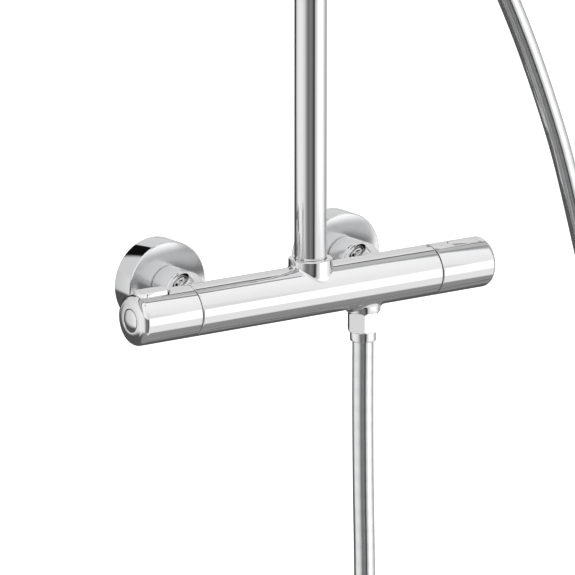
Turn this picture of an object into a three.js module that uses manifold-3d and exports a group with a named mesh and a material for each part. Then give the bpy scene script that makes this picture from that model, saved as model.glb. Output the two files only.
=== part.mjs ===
// Rainfall shower column: thermostatic mixer bar, riser, swivelling arm, rain head, hand shower and hose.
// Millimetres. +X runs along the wall, +Y into the wall, +Z up. The origin is on the wall plane,
// midway between the two supply unions, at the height of the mixer bar's axis.
import * as THREE from 'three';
import { mergeVertices } from 'three/addons/utils/BufferGeometryUtils.js';
import Module from 'manifold-3d';

const wasm = await Module();
wasm.setup();

// ---- driving dimensions ----
const GAP = 0.3; // between pieces that touch in the real assembly
const WALL_TO_BAR = 85; // wall plane to the mixer bar's axis
const UNION_X = 75; // each supply union, from the middle
const BAR_R = 18;
const BODY_END = 101.3; // half length of the fixed body
const HANDLE_START = 101.9;
const BAR_END = 149; // half length over both handles
const END_ROUND = 4.5; // rounding of the handles' outer edges
const GRIP_TURN = 8; // degrees that the stop buttons lean forward of straight up
const CARTRIDGE_R = 12.6;
const SPINDLE_R = 4.8;
const PLATE_R = 31.7; // escutcheon
const PLATE_DEPTH = 20;
const PLATE_FALL = 0.8; // the escutcheon's face falls back this much from its hole to its rim
const NUT_R = 15; // union nut
const BOSS_FACE = 45; // inlet boss's face, from the bar's axis
const PLUG_LEAN = 42; // degrees that the service plugs lean outward, to the left
const PLUG_Y = 36;
const PLUG_FACE = 14.5; // plug boss's face, from the inlet's axis
const PLUG_BOSS_R = 8;
const COLLAR_R = 15.4;
const COLLAR_TOP = 23.3;
const TUBE_R = 11.25; // riser and arm, outside
const TUBE_BORE = 10;
const OUTLET_X = 45;
const HOSE_R = 7.5;
const RISER_JOINT = 560; // seam between the lower and upper riser
const RISER_TOP = 1010;
const BRACKET_Z = 930;
const ARM_REACH = 390; // riser axis to head axis
const ARM_RISE = 135; // riser top to the arm's level run
const ARM_BEND = 65;
const DROP_BEND = 45;
const HEAD_R = 105;
const BALL_R = 10;
const SLIDER_Z = 600;
const HOLDER_X = 46;
const HANDSET_LEAN = 15; // degrees that the handset leans forward in its holder
const FACE_LEAN = 20; // degrees that the handset's face looks down, from square to its handle

// ---- materials ----
const finish = (color, roughness, metalness) =>
  new THREE.MeshStandardMaterial({ color, roughness, metalness });
const chrome = finish(0xd9dcde, 0.08, 1);
const brass = finish(0xb9975b, 0.35, 1);
const rubber = finish(0x2a2b2d, 0.8, 0);
const greyPlastic = finish(0x8b8f93, 0.5, 0);
const whitePlastic = finish(0xe6e7e8, 0.45, 0);
const steel = finish(0xa9adb0, 0.35, 1);
const hoseSkin = finish(0xc4c8cb, 0.25, 0.8);

// ---- shape helpers ----
const deg = THREE.MathUtils.degToRad;

// One closed geometry: shared vertices merged, collapsed faces dropped, faces turned outward.
function closed(geometry) {
  const bare = geometry.clone();
  bare.deleteAttribute('normal');
  bare.deleteAttribute('uv');
  const merged = mergeVertices(bare, 1e-4);
  const place = merged.getAttribute('position');
  const kept = [];
  let volume = 0;
  const [a, b, c] = [new THREE.Vector3(), new THREE.Vector3(), new THREE.Vector3()];
  for (let i = 0; i < merged.index.count; i += 3) {
    const corner = [0, 1, 2].map((k) => merged.index.getX(i + k));
    if (new Set(corner).size < 3) continue;
    [a, b, c].forEach((v, k) => v.fromBufferAttribute(place, corner[k]));
    volume += a.dot(b.cross(c));
    kept.push(...corner);
  }
  if (volume < 0) kept.reverse();
  merged.setIndex(kept);
  return merged;
}

function solid(shape) {
  if (!shape.isBufferGeometry) return shape;
  const geometry = closed(shape);
  return new wasm.Manifold(new wasm.Mesh({
    numProp: 3,
    vertProperties: new Float32Array(geometry.getAttribute('position').array),
    triVerts: new Uint32Array(geometry.index.array),
  }));
}

const join = (...shapes) => shapes.map(solid).reduce((whole, next) => whole.add(next));
const cut = (shape, ...tools) => tools.map(solid).reduce((left, tool) => left.subtract(tool), solid(shape));
const common = (one, other) => solid(one).intersect(solid(other));

function geometryOf(shape) {
  if (shape.isBufferGeometry) return closed(shape);
  const mesh = shape.getMesh();
  const geometry = new THREE.BufferGeometry();
  geometry.setAttribute('position', new THREE.BufferAttribute(new Float32Array(mesh.vertProperties), 3));
  geometry.setIndex([...mesh.triVerts]);
  return geometry;
}

// Turned about +Z from [radius, height] pairs; the profile closes on itself.
function turned(profile, segments = 16) {
  const points = [...profile, profile[0]].map(([r, h]) => new THREE.Vector2(r, h));
  return new THREE.LatheGeometry(points, segments).rotateX(Math.PI / 2);
}
// Rows of points round an axis, each row as long as the next, closed by its two single end points.
function stitched(rows) {
  const count = rows[1].length;
  const starts = rows.map((_, i) => rows.slice(0, i).reduce((sum, row) => sum + row.length, 0));
  const faces = [];
  for (let i = 0; i < rows.length - 1; i += 1) {
    for (let k = 0; k < count; k += 1) {
      const [a, b] = [k, (k + 1) % count].map((n) => starts[i] + (n % rows[i].length));
      const [c, d] = [k, (k + 1) % count].map((n) => starts[i + 1] + (n % rows[i + 1].length));
      faces.push(a, b, d, a, d, c);
    }
  }
  const geometry = new THREE.BufferGeometry();
  geometry.setAttribute('position', new THREE.BufferAttribute(new Float32Array(rows.flat(2)), 3));
  geometry.setIndex(faces);
  return geometry;
}
const rod = (r, from, to, segments = 16) => turned([[0, from], [r, from], [r, to], [0, to]], segments);
const ring = (outer, inner, from, to, segments = 16) =>
  turned([[inner, from], [outer, from], [outer, to], [inner, to]], segments);
const alongX = (shape) => geometryOf(shape).rotateY(Math.PI / 2);
const alongY = (shape) => geometryOf(shape).rotateX(-Math.PI / 2);
const moved = (shape, x, y, z) => geometryOf(shape).translate(x, y, z);
function box(x, y, z) {
  const size = [x, y, z].map(([low, high]) => high - low);
  const middle = [x, y, z].map(([low, high]) => (low + high) / 2);
  return new THREE.BoxGeometry(...size).translate(...middle);
}
const arc = (cr, ch, radius, start, end, steps) =>
  Array.from({ length: steps + 1 }, (_, i) => {
    const t = deg(start + ((end - start) * i) / steps);
    return [cr + radius * Math.cos(t), ch + radius * Math.sin(t)];
  });

// A path that steps from one station to the next, so an extrusion has a section at each of them.
class Stations extends THREE.Curve {
  constructor(points) {
    super();
    this.points = points;
  }
  getPoint(t) {
    const last = this.points.length - 1;
    const at = Math.min(Math.max(t, 0), 1) * last;
    const i = Math.min(Math.floor(at), last - 1);
    return this.points[i].clone().lerp(this.points[i + 1], at - i);
  }
  getUtoTmapping(u) {
    return u;
  }
}

function swept(points, radius, sides, bore = 0) {
  const section = new THREE.Shape();
  section.absarc(0, 0, radius, 0, 2 * Math.PI);
  const outline = new THREE.Shape(section.getPoints(sides / 2).slice(0, -1));
  if (bore) {
    const hole = new THREE.Path();
    hole.absarc(0, 0, bore, 0, 2 * Math.PI);
    outline.holes.push(new THREE.Path(hole.getPoints(sides / 2).slice(0, -1)));
  }
  return new THREE.ExtrudeGeometry(outline, {
    extrudePath: new Stations(points),
    steps: points.length - 1,
    bevelEnabled: false,
    curveSegments: sides,
  });
}

// ---- the tree ----
const column = new THREE.Group();
function group(parent, x = 0, y = 0, z = 0) {
  const made = new THREE.Group();
  made.position.set(x, y, z);
  parent.add(made);
  return made;
}
function node(parent, name, shape, material) {
  const mesh = new THREE.Mesh(geometryOf(shape), material);
  mesh.name = name;
  parent.add(mesh);
}

// Everything on the bar's axis line: the wall is at y = WALL_TO_BAR in this group.
const onBar = group(column, 0, -WALL_TO_BAR, 0);
const sides = [['right', 1], ['left', -1]];

// ---- wall connection ----
const NUT_FROM = BOSS_FACE + GAP;
const NUT_TO = WALL_TO_BAR - PLATE_DEPTH - GAP;
const NUT_THREAD_R = 13.5;
const NUT_SHOULDER = 52.7; // back of the nut's inner flange, which pulls on the neck's rim
const UNION_FRONT = 58; // front of the eccentric union's thread
const UNION_OFFSET = 10; // rear thread's axis, below the front one's
const VALVE_R = 8;

function eccentricUnion() {
  const front = alongY(rod(NUT_THREAD_R - 0.4, UNION_FRONT, WALL_TO_BAR - 9));
  const web = alongY(rod(18.5, WALL_TO_BAR - 14, WALL_TO_BAR - 3)).translate(0, 0, -UNION_OFFSET / 2);
  const rear = alongY(rod(10.4, WALL_TO_BAR - 5, WALL_TO_BAR + 12)).translate(0, 0, -UNION_OFFSET);
  const frontBore = alongY(rod(8.5, UNION_FRONT - 1, WALL_TO_BAR - 8, 16));
  const rearBore = alongY(rod(6.5, WALL_TO_BAR - 12, WALL_TO_BAR + 13, 16)).translate(0, 0, -UNION_OFFSET);
  return cut(join(front, web, rear), frontBore, rearBore);
}

function escutcheon() {
  const face = WALL_TO_BAR - PLATE_DEPTH;
  const hole = NUT_THREAD_R;
  return alongY(turned([
    [hole, face], [PLATE_R - 0.8, face + PLATE_FALL], [PLATE_R, face + PLATE_FALL + 0.8],
    [PLATE_R, WALL_TO_BAR], [PLATE_R - 2, WALL_TO_BAR], [PLATE_R - 2, face + 2.8], [hole, face + 2],
  ], 24));
}

function unionNut() {
  return alongY(turned([
    [10.5, NUT_FROM], [NUT_R - 0.6, NUT_FROM], [NUT_R, NUT_FROM + 0.6], [NUT_R, NUT_TO - 0.6],
    [NUT_R - 0.6, NUT_TO], [NUT_THREAD_R, NUT_TO], [NUT_THREAD_R, NUT_SHOULDER], [10.5, NUT_SHOULDER],
  ], 20));
}

// A plug's own axis: out of the inlet boss, leaning to the left.
const plugPlace = (geometry, x) =>
  geometry.rotateY(-deg(PLUG_LEAN)).translate(x, PLUG_Y, 0);
const servicePlug = () => cut(
  rod(5.4, 8.6, PLUG_FACE - 0.6, 20),
  new THREE.CylinderGeometry(3, 3, 6, 6).rotateX(Math.PI / 2).translate(0, 0, PLUG_FACE - 1),
);

for (const [name, side] of sides) {
  const here = group(onBar, side * UNION_X, 0, 0);
  node(here, `s_union_${name}`, eccentricUnion(), brass);
  node(here, `escutcheon_${name}`, escutcheon(), chrome);
  node(here, `union_nut_${name}`, unionNut(), chrome);
  node(here, `check_valve_${name}`, alongY(ring(VALVE_R, 3, 33, 51, 20)), greyPlastic);
  const plug = group(here, 0, PLUG_Y, 0);
  plug.rotation.y = -deg(PLUG_LEAN);
  node(plug, `service_plug_${name}`, servicePlug(), chrome);
}

// ---- mixer body ----
const BORE_R = 13; // the two end bores that take the cartridges
const BORE_FROM = 30;
const WATERWAY_R = 7;
const OUTLET_BOSS_R = 12.2;
const OUTLET_FACE = -21;

// A round boss that stands out of the bar along +Z. Its foot flares into the bar's skin, widely along the bar
// and narrowly across it, where the skin is steep.
const FLARE_STEPS = 4;
const BOSS_SIDES = 24;
const SKIN_DIP = 0.4; // how far the flare's foot ends inside the skin
const BOSS_ROOT = 6; // where the boss closes, inside the bar

function saddleBoss(radius, face, [along, across], rise) {
  const profileAt = (angle) => {
    const steep = Math.sin(angle) ** 2;
    const spread = along + (across - along) * steep;
    const foot = radius + spread;
    const skin = Math.sqrt(BAR_R ** 2 - foot ** 2 * steep);
    const footZ = skin - SKIN_DIP;
    const cornerZ = footZ + (foot * steep * spread) / skin;
    const wallZ = Math.min(cornerZ + rise, face - GAP);
    const flare = Array.from({ length: FLARE_STEPS + 1 }, (_, i) => {
      const t = 1 - i / FLARE_STEPS;
      return [radius + spread * t * t, (1 - t) ** 2 * wallZ + 2 * t * (1 - t) * cornerZ + t * t * footZ];
    });
    return [[radius - 3, BOSS_ROOT], ...flare, [radius, face]];
  };
  const angles = Array.from({ length: BOSS_SIDES }, (_, k) => (2 * Math.PI * k) / BOSS_SIDES);
  const profiles = angles.map(profileAt);
  const rows = profiles[0].map((_, i) => angles.map((angle, k) => {
    const [r, z] = profiles[k][i];
    return [r * Math.cos(angle), r * Math.sin(angle), z];
  }));
  return stitched([[[0, 0, BOSS_ROOT]], ...rows, [[0, 0, face]]]);
}

const NECK_R = 10.6;
const NECK_TO = 31;
const inletShoulder = () => turned([
  [0, NECK_TO - 2], [NECK_R, NECK_TO - 2], [NECK_R + 0.3, NECK_TO], [11.8, 34.5], [13.3, 38.2],
  [14.6, 41.6], [NUT_R, BOSS_FACE - 1.6], [NUT_R, BOSS_FACE], [0, BOSS_FACE],
], 20);

function mixerBody() {
  let body = join(
    alongX(rod(BAR_R, -BODY_END, BODY_END, 24)),
    saddleBoss(COLLAR_R, COLLAR_TOP, [2.4, 1.2], 2.2),
    saddleBoss(OUTLET_BOSS_R, -OUTLET_FACE, [4.3, 2], 2.6).rotateX(Math.PI).translate(OUTLET_X, 0, 0),
  );
  let hollow = join(
    alongX(rod(BORE_R, BORE_FROM, BODY_END + 1)),
    alongX(rod(BORE_R, -BODY_END - 1, -BORE_FROM)),
    alongX(rod(WATERWAY_R, -BORE_FROM - 1, BORE_FROM + 1, 16)),
    rod(TUBE_R + 0.35, 9, COLLAR_TOP + 1),
    rod(13.1, 12, 15),
    rod(WATERWAY_R, 0, 10, 16),
    rod(8.3, OUTLET_FACE - 1, -12, 20).translate(OUTLET_X, 0, 0),
  );
  for (const [, side] of sides) {
    const x = side * UNION_X;
    body = join(
      body,
      alongY(saddleBoss(NECK_R, NECK_TO, [6, 3], 4)).translate(x, 0, 0),
      alongY(inletShoulder()).translate(x, 0, 0),
      alongY(rod(10, BOSS_FACE - 1, 54)).translate(x, 0, 0),
      alongY(rod(13, NUT_SHOULDER + GAP, 55.2)).translate(x, 0, 0),
      plugPlace(rod(PLUG_BOSS_R, 4, PLUG_FACE, 20), x),
    );
    hollow = join(
      hollow,
      alongY(rod(VALVE_R + 0.4, 30, 56, 20)).translate(x, 0, 0),
      alongY(rod(6, 0, 31, 16)).translate(x, 0, 0),
      plugPlace(rod(5.75, 4, 18, 20), x),
    );
  }
  return cut(body, hollow);
}

node(onBar, 'mixer_body', mixerBody(), chrome);

const THREAD_R = 8.9; // hose threads
const nipple = turned([
  [5.5, -29.3], [THREAD_R - 0.4, -29.3], [THREAD_R, -28.8], [THREAD_R, OUTLET_FACE - GAP],
  [8, OUTLET_FACE - GAP], [8, -13.4], [5.5, -13.4],
]).translate(OUTLET_X, 0, 0);
node(onBar, 'outlet_nipple', nipple, brass);

// ---- the two handles and what turns or stays inside them ----
const CARTRIDGE_FROM = 46;
const CARTRIDGE_TO = 95.7;
const HUB_FROM = 109;
const HUB_TO = 121;
const CAP_SEAT = 146.2;
const POCKET_FLOOR = 9;
const BUTTON_FOOT = 11.2;

// Outline of a stop button, pointed at its inner end.
function gripOutline([from, to], half, tip) {
  return new THREE.Shape([
    new THREE.Vector2(from, 0), new THREE.Vector2(from + tip, -half), new THREE.Vector2(to, -half),
    new THREE.Vector2(to, half), new THREE.Vector2(from + tip, half),
  ]);
}
const gripBlock = (span, half, tip, low, high) =>
  new THREE.ExtrudeGeometry(gripOutline(span, half, tip), { depth: high - low, bevelEnabled: false })
    .translate(0, 0, low);

// One end is made for the right; the left one is the same turned half round.
function handle(pocket, half, tip) {
  const round = arc(BAR_R - END_ROUND, BAR_END - END_ROUND, END_ROUND, 0, 90, 3);
  const shell = alongX(turned([
    [16.4, HANDLE_START], [BAR_R, HANDLE_START], ...round, [8.1, BAR_END + 0.6], [8.1, CAP_SEAT],
    [4.6, CAP_SEAT], [4.6, 140.5], [2.4, 140.5], [2.4, HUB_TO], [7.35, HUB_TO], [7.35, HUB_FROM],
    [16.4, HUB_FROM],
  ], 24));
  const well = gripBlock([pocket[0] - 1.5 * GAP, pocket[1] + GAP], half + GAP, tip, POCKET_FLOOR, 22);
  const scoopDepth = 1.5;
  const scoopHalf = 12.75;
  const scoopR = (scoopHalf ** 2 + scoopDepth ** 2) / (2 * scoopDepth);
  const scoop = new THREE.CylinderGeometry(scoopR, scoopR, 40, 72)
    .translate((pocket[0] + pocket[1]) / 2, 0, -(BAR_R - scoopDepth) - scoopR);
  return cut(shell, well, scoop);
}

const SPRING_BORE = 2.4;
const springSeat = (middle) => rod(SPRING_BORE, BUTTON_FOOT - 1, 16.2, 12).translate(middle, 0, 0);

function flushButton(span, half, tip) {
  const barSkin = alongX(rod(BAR_R, span[0] - 1, span[1] + 1, 24));
  return cut(common(gripBlock(span, half, tip, BUTTON_FOOT, 22), barSkin), springSeat((span[0] + span[1]) / 2));
}

// The raised one stands proud of the handle, and has a small square window in its front flank.
function raisedGrip(span, half, tip, top) {
  const window = box([span[1] - 6.2, span[1] - 2.7], [half - 1.2, half + 1], [top - 3.2, top - 0.6]);
  return cut(gripBlock(span, half, tip, BUTTON_FOOT, top), springSeat((span[0] + span[1]) / 2), window);
}

function coilSpring(middle) {
  const turns = 3;
  const perTurn = 8;
  const [low, high] = [POCKET_FLOOR + 0.7, 15.6];
  const points = Array.from({ length: turns * perTurn + 1 }, (_, i) => {
    const t = (2 * Math.PI * i) / perTurn;
    const z = low + ((high - low) * i) / (turns * perTurn);
    return new THREE.Vector3(middle + 1.6 * Math.cos(t), 1.6 * Math.sin(t), z);
  });
  return swept(points, 0.3, 4);
}

function cartridge() {
  return alongX(turned([
    [5.3, CARTRIDGE_FROM], [9.5, CARTRIDGE_FROM], [9.5, 56], [CARTRIDGE_R, 56], [CARTRIDGE_R, 66],
    [10.6, 66], [10.6, 74], [CARTRIDGE_R, 74], [CARTRIDGE_R, CARTRIDGE_TO], [5.3, CARTRIDGE_TO],
  ]));
}
const SPLINE_FROM = 97;
const splineSleeve = () => turned([
  [5.3, SPLINE_FROM], [7, SPLINE_FROM], [7, HUB_TO - GAP], [2.4, HUB_TO - GAP], [2.4, 117.5], [5.3, 117.5],
]);
// The diverter's sleeve is one piece with its solid stem.
const stemSleeve = () => turned([
  [0, 66], [SPINDLE_R, 66], [SPINDLE_R, SPLINE_FROM], [7, SPLINE_FROM], [7, HUB_TO - GAP],
  [2.4, HUB_TO - GAP], [2.4, 117.5], [0, 117.5],
]);
const fixingScrew = () => cut(
  turned([[0, 118.2], [2.05, 118.2], [2.05, 140.8], [4.2, 140.8], [4.2, 144.6], [0, 144.6]], 16),
  new THREE.CylinderGeometry(2, 2, 5, 6).rotateX(Math.PI / 2).translate(0, 0, 144.6),
);
const endCap = () => turned([
  [0, CAP_SEAT + GAP], [7.75, CAP_SEAT + GAP], [7.75, BAR_END + 0.6], [7.2, BAR_END + 1], [0, BAR_END + 1.2],
]);

function barEnd(name, inner, onTop) {
  const turn = name === 'right' ? 0 : Math.PI;
  const still = group(onBar);
  still.rotation.z = turn;
  const turning = group(onBar);
  turning.rotation.set(deg(GRIP_TURN), 0, turn);
  const kind = name === 'right' ? 'temperature' : 'flow';
  node(still, inner.cartridge, cartridge(), whitePlastic);
  node(still, `cartridge_nut_${name}`, alongX(ring(12.7, 7.5, 96, 101)), brass);
  node(still, `stop_ring_${name}`, alongX(ring(15.7, 9.4, BODY_END + GAP, 105)), greyPlastic);
  node(turning, `${kind}_handle`, handle(onTop.span, onTop.half, onTop.tip), chrome);
  node(turning, `${kind}_spline`, alongX(inner.sleeve()), brass);
  node(turning, `${kind}_screw`, alongX(fixingScrew()), steel);
  node(turning, `${kind}_cap`, alongX(endCap()), chrome);
  node(turning, onTop.name, onTop.shape(), chrome);
  node(turning, `${onTop.name}_spring`, coilSpring((onTop.span[0] + onTop.span[1]) / 2), steel);
}

const BUTTON_SPAN = [116, 140.5];
const BUTTON_HALF = 4.9;
const GRIP_SPAN = [118.7, 146];
const GRIP_HALF = 5;
const GRIP_TIP = 4.6;
const GRIP_TOP = 20.2;
barEnd('right', { cartridge: 'thermostat_cartridge', sleeve: splineSleeve }, {
  name: 'temperature_button', span: BUTTON_SPAN, half: BUTTON_HALF, tip: GRIP_TIP,
  shape: () => flushButton(BUTTON_SPAN, BUTTON_HALF, GRIP_TIP),
});
barEnd('left', { cartridge: 'diverter_cartridge', sleeve: stemSleeve }, {
  name: 'flow_grip', span: GRIP_SPAN, half: GRIP_HALF, tip: GRIP_TIP,
  shape: () => raisedGrip(GRIP_SPAN, GRIP_HALF, GRIP_TIP, GRIP_TOP),
});
node(onBar, 'thermostat_spindle', alongX(rod(SPINDLE_R, 66, 115, 20)), brass);

// ---- riser ----
node(onBar, 'riser_seal', ring(12.8, TUBE_R + 0.3, 12.3, 14.7), rubber);
node(onBar, 'riser_lower', ring(TUBE_R, TUBE_BORE, 9.3, RISER_JOINT), chrome);
node(onBar, 'riser_coupling', ring(TUBE_BORE - 0.3, 8.3, RISER_JOINT - 25, RISER_JOINT + 25), brass);
node(onBar, 'riser_upper', ring(TUBE_R, TUBE_BORE, RISER_JOINT + 0.4, RISER_TOP), chrome);

// ---- wall bracket ----
function bracketArm() {
  const neck = alongY(turned([[0, 0], [8, 0], [8, 66], [9.5, 72], [9.5, 76.7], [0, 76.7]], 20));
  const clamp = rod(16.5, -14, 14, 20);
  return cut(join(neck, clamp), rod(TUBE_R + 0.35, -15, 15)).translate(0, 0, BRACKET_Z);
}
const rosette = alongY(turned([
  [0, WALL_TO_BAR - 8], [24, WALL_TO_BAR - 8], [25, WALL_TO_BAR - 7], [25, WALL_TO_BAR], [0, WALL_TO_BAR],
], 32)).translate(0, 0, BRACKET_Z);
node(onBar, 'bracket_rosette', rosette, chrome);
node(onBar, 'bracket_arm', bracketArm(), chrome);

// ---- arm, swivelling about the riser ----
const swivelNut = turned([
  [TUBE_R + 0.35, RISER_TOP - 12], [COLLAR_R - 0.6, RISER_TOP - 12], [COLLAR_R, RISER_TOP - 11.4],
  [COLLAR_R, RISER_TOP + 11.4], [COLLAR_R - 0.6, RISER_TOP + 12], [TUBE_R + 0.35, RISER_TOP + 12],
]);
node(onBar, 'arm_swivel_nut', swivelNut, chrome);

const ARM_LEVEL = RISER_TOP + ARM_RISE;
const ARM_END = ARM_LEVEL - DROP_BEND - 12;
function armRoute() {
  const points = [new THREE.Vector3(0, 0, RISER_TOP + GAP)];
  const bend = (cy, cz, radius, start, end, steps) => {
    for (let i = 0; i <= steps; i += 1) {
      const t = deg(start + ((end - start) * i) / steps);
      points.push(new THREE.Vector3(0, cy + radius * Math.cos(t), cz + radius * Math.sin(t)));
    }
  };
  bend(-ARM_BEND, ARM_LEVEL - ARM_BEND, ARM_BEND, 0, 90, 6);
  bend(-ARM_REACH + DROP_BEND, ARM_LEVEL - DROP_BEND, DROP_BEND, 90, 180, 5);
  points.push(new THREE.Vector3(0, -ARM_REACH, ARM_END));
  return points;
}
const armTube = swept(armRoute(), TUBE_R, 16, TUBE_BORE - 1);
const armSpigot = ring(TUBE_BORE - 0.35, 8, RISER_TOP - 22, RISER_TOP + 6, 20);
node(onBar, 'shower_arm', join(armTube, armSpigot), chrome);

// ---- rain head on its ball joint; this group's origin is the ball's centre ----
const BALL_DROP = 26; // arm's end to the ball's centre
const onBall = group(onBar, 0, -ARM_REACH, ARM_END - BALL_DROP);
const ballArc = (radius, from, to, steps) => arc(0, 0, radius, from, to, steps);
const ballStud = turned([
  [0, -BALL_R], ...ballArc(BALL_R, -66, 57, 6), [5.4, 15.5], [12.2, 15.5], [12.2, BALL_DROP - GAP],
  [0, BALL_DROP - GAP],
]);
node(onBall, 'ball_stud', ballStud, chrome);
node(onBall, 'ball_liner', turned([...ballArc(10.8, -35, 30, 3), ...ballArc(10.35, 30, -35, 3)]), whitePlastic);
node(onBall, 'ball_nut', turned([
  ...ballArc(11.15, 0, 37, 2), [8.9, 7.4], [14.6, 7.4], [16, 6], [16, -12], [12.3, -12], [12.3, -3], [11.15, -3],
]), chrome);

const SHELL_TOP = -12.4;
const headShell = turned([
  [7, -9], [7.6, -8.9], ...ballArc(11.15, -40, -20, 1), [11.9, -3.8], [11.9, SHELL_TOP], [16, SHELL_TOP - 0.4],
  [17, -17], [30, -20.5], [60, -24.5], [90, -27], [HEAD_R - 1.2, -28], [HEAD_R, -29.2], [HEAD_R, -35],
  [HEAD_R - 1.4, -36.4], [HEAD_R - 3.4, -36.4], [HEAD_R - 3.4, -30.4], [60, -27], [26, -23], [7, -20],
], 32);
node(onBall, 'head_shell', headShell, chrome);
node(onBall, 'head_nozzle_mat', turned([[0, -32.2], [HEAD_R - 5, -32.2], [HEAD_R - 5, -31], [0, -31]], 24), rubber);
node(onBall, 'head_spray_plate', turned([[0, -36], [HEAD_R - 4, -36], [HEAD_R - 4, -33], [0, -33]], 48), chrome);

// ---- slider; this group's origin is on the riser's axis ----
const onSlider = group(onBar, 0, 0, SLIDER_Z);
const sliderBody = cut(
  join(rod(16.5, -22, 22, 24), alongX(rod(13, -30, 28, 20))),
  rod(TUBE_R + 0.4, -23, 23),
  alongX(rod(4.4, -31, -9, 16)),
  alongX(rod(4.4, 15, 29, 16)),
);
node(onSlider, 'slider_body', sliderBody, chrome);
node(onSlider, 'slider_clamp_screw', alongX(rod(4, -38, -11.9, 16)), steel);
node(onSlider, 'slider_knob', alongX(turned([
  [0, -48], [11, -48], [12.6, -46], [13, -30.4], [4.4, -30.4], [4.4, -40], [0, -40],
], 28)), chrome);

// ---- holder and hand shower; +Z here runs up the handset's handle ----
const onHolder = group(onSlider, HOLDER_X, 0, 0);
onHolder.rotation.x = deg(HANDSET_LEAN);
const coneAt = (s, slack = 0) => 11.75 + 0.0533 * s - slack;
function holder() {
  const cup = turned([
    [coneAt(-14), -14], [15, -14], [16.2, -12.8], [16.2, 14.8], [15.2, 16], [coneAt(16), 16],
  ], 32);
  const boss = alongX(rod(12.6, 28.4 - HOLDER_X, -12, 20));
  const pivot = alongX(rod(4, 15.4 - HOLDER_X, -14, 12));
  const slot = box([-8, 8], [-30, 0], [-15, 17]).rotateZ(deg(40));
  const core = turned([[0, -15], [coneAt(-15), -15], [coneAt(17), 17], [0, 17]], 32);
  return cut(join(cup, boss, pivot), core, slot);
}
node(onHolder, 'handset_holder', holder(), chrome);

const CONE_FOOT = -20;
const CONE_TOP = 20;
node(onHolder, 'hose_cone_nut', turned([
  [9.3, CONE_FOOT], [coneAt(CONE_FOOT, 0.4), CONE_FOOT], [coneAt(CONE_TOP, 0.4), CONE_TOP],
  [THREAD_R + 0.35, CONE_TOP], [THREAD_R + 0.35, -2.5], [6.4, -2.5], [6.4, -5], [9.3, -5],
], 24), chrome);
node(onHolder, 'hose_washer_upper', ring(THREAD_R, 5, -0.6, 1.6, 20), rubber);
const HOSE_TOP = -22; // the upper ferrule's foot
node(onHolder, 'hose_ferrule_upper', turned([
  [4.5, HOSE_TOP], [8.9, HOSE_TOP], [8.9, -5.4], [6, -5.4], [6, -2.1], [THREAD_R, -2.1], [THREAD_R, -1],
  [4.5, -1],
], 20), chrome);

// The face's own axis, out of the spray side: forward (-Y) and down.
const FACE_Z = 226;
const FACE_Y = -22;
const faceWards = (shape) => geometryOf(shape).rotateX(deg(90 + FACE_LEAN)).translate(0, FACE_Y, FACE_Z);
function handsetBody() {
  const grip = turned([
    [0, 2], [THREAD_R, 2], [THREAD_R, CONE_TOP + GAP], [12.4, CONE_TOP + GAP], [11.4, 80], [10.4, 150],
    [9.4, 178], [9.4, 192], [5, 201], [0, 203],
  ]);
  const back = faceWards(turned([[0, -15], [24, -13], [42, -8.5], [50, -4], [52, 0], [52, 6], [0, 6]], 28));
  const chamber = faceWards(turned([[0, -12], [22, -10.5], [40, -6.5], [48.6, -1], [48.6, 7], [0, 7]], 28));
  return cut(join(grip, back), chamber, rod(6.5, 1, 197, 12));
}
node(onHolder, 'handset_body', handsetBody(), chrome);
const selector = join(ring(48.2, 34.5, 2.5, 6.4, 28), box([-5, 5], [41, 46.5], [6, 9.5]));
node(onHolder, 'handset_selector', faceWards(selector), chrome);
node(onHolder, 'handset_face', faceWards(rod(34.1, 2.5, 6.2, 24)), whitePlastic);

// ---- hose, hanging in a loop from the outlet to the handset ----
const hexNut = new THREE.CylinderGeometry(11.8, 11.8, 14, 6).rotateX(Math.PI / 2).rotateZ(deg(30))
  .translate(0, 0, -28.4);
const nutBore = join(rod(THREAD_R + 0.35, -33.4, -20), rod(6.4, -36, -33));
node(onBar, 'hose_nut_lower', moved(geometryOf(cut(hexNut, nutBore)), OUTLET_X, 0, 0), chrome);
node(onBar, 'hose_washer_lower', moved(ring(THREAD_R, 5, -31.6, -29.6, 20), OUTLET_X, 0, 0), rubber);
node(onBar, 'hose_ferrule_lower', turned([
  [4.5, -42.4], [9.2, -42.4], [9.2, -35.7], [6, -35.7], [6, -33.1], [THREAD_R, -33.1], [THREAD_R, -31.9],
  [4.5, -31.9],
], 24).translate(OUTLET_X, 0, 0), chrome);

// The route's points from the lower ferrule to the upper one, in this part's frame.
const HOSE_ROUTE = [
  [45, -85, -42.7], [45, -85, -90], [45.6, -85, -145], [46.8, -85, -200], [47.8, -85, -260],
  [48.6, -85.4, -305], [49.8, -86, -350], [54.6, -86.9, -398], [68.8, -89, -441], [91.1, -92.2, -475.4],
  [119.3, -96.2, -497.4], [150.5, -100.7, -505], [181.7, -105.2, -497.4], [209.9, -109.2, -475.4],
  [232.2, -112.3, -441], [246.4, -114.4, -398], [251.8, -115, -350], [253.5, -115, -300],
  [252.8, -115, -245], [250.6, -115, -192], [246, -115, -142], [238.6, -115, -92], [228.5, -115, -40],
  [215, -115, 10], [197, -115, 72], [186.5, -114.5, 103], [165.2, -110, 162], [139.5, -104, 222],
  [119.5, -98.5, 263], [100.5, -91.5, 307], [84, -83.5, 352], [70.5, -76, 397], [59.5, -70, 441],
  [51.5, -67, 484], [47, -68.5, 526], [46, -74.2, 558], [46, -79.2, 578.5],
].map((p) => new THREE.Vector3(...p));
const hoseStations = new THREE.CatmullRomCurve3(HOSE_ROUTE, false, 'centripetal').getSpacedPoints(46);
node(column, 'shower_hose', swept(hoseStations, HOSE_R, 8), hoseSkin);

export default column;
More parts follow.
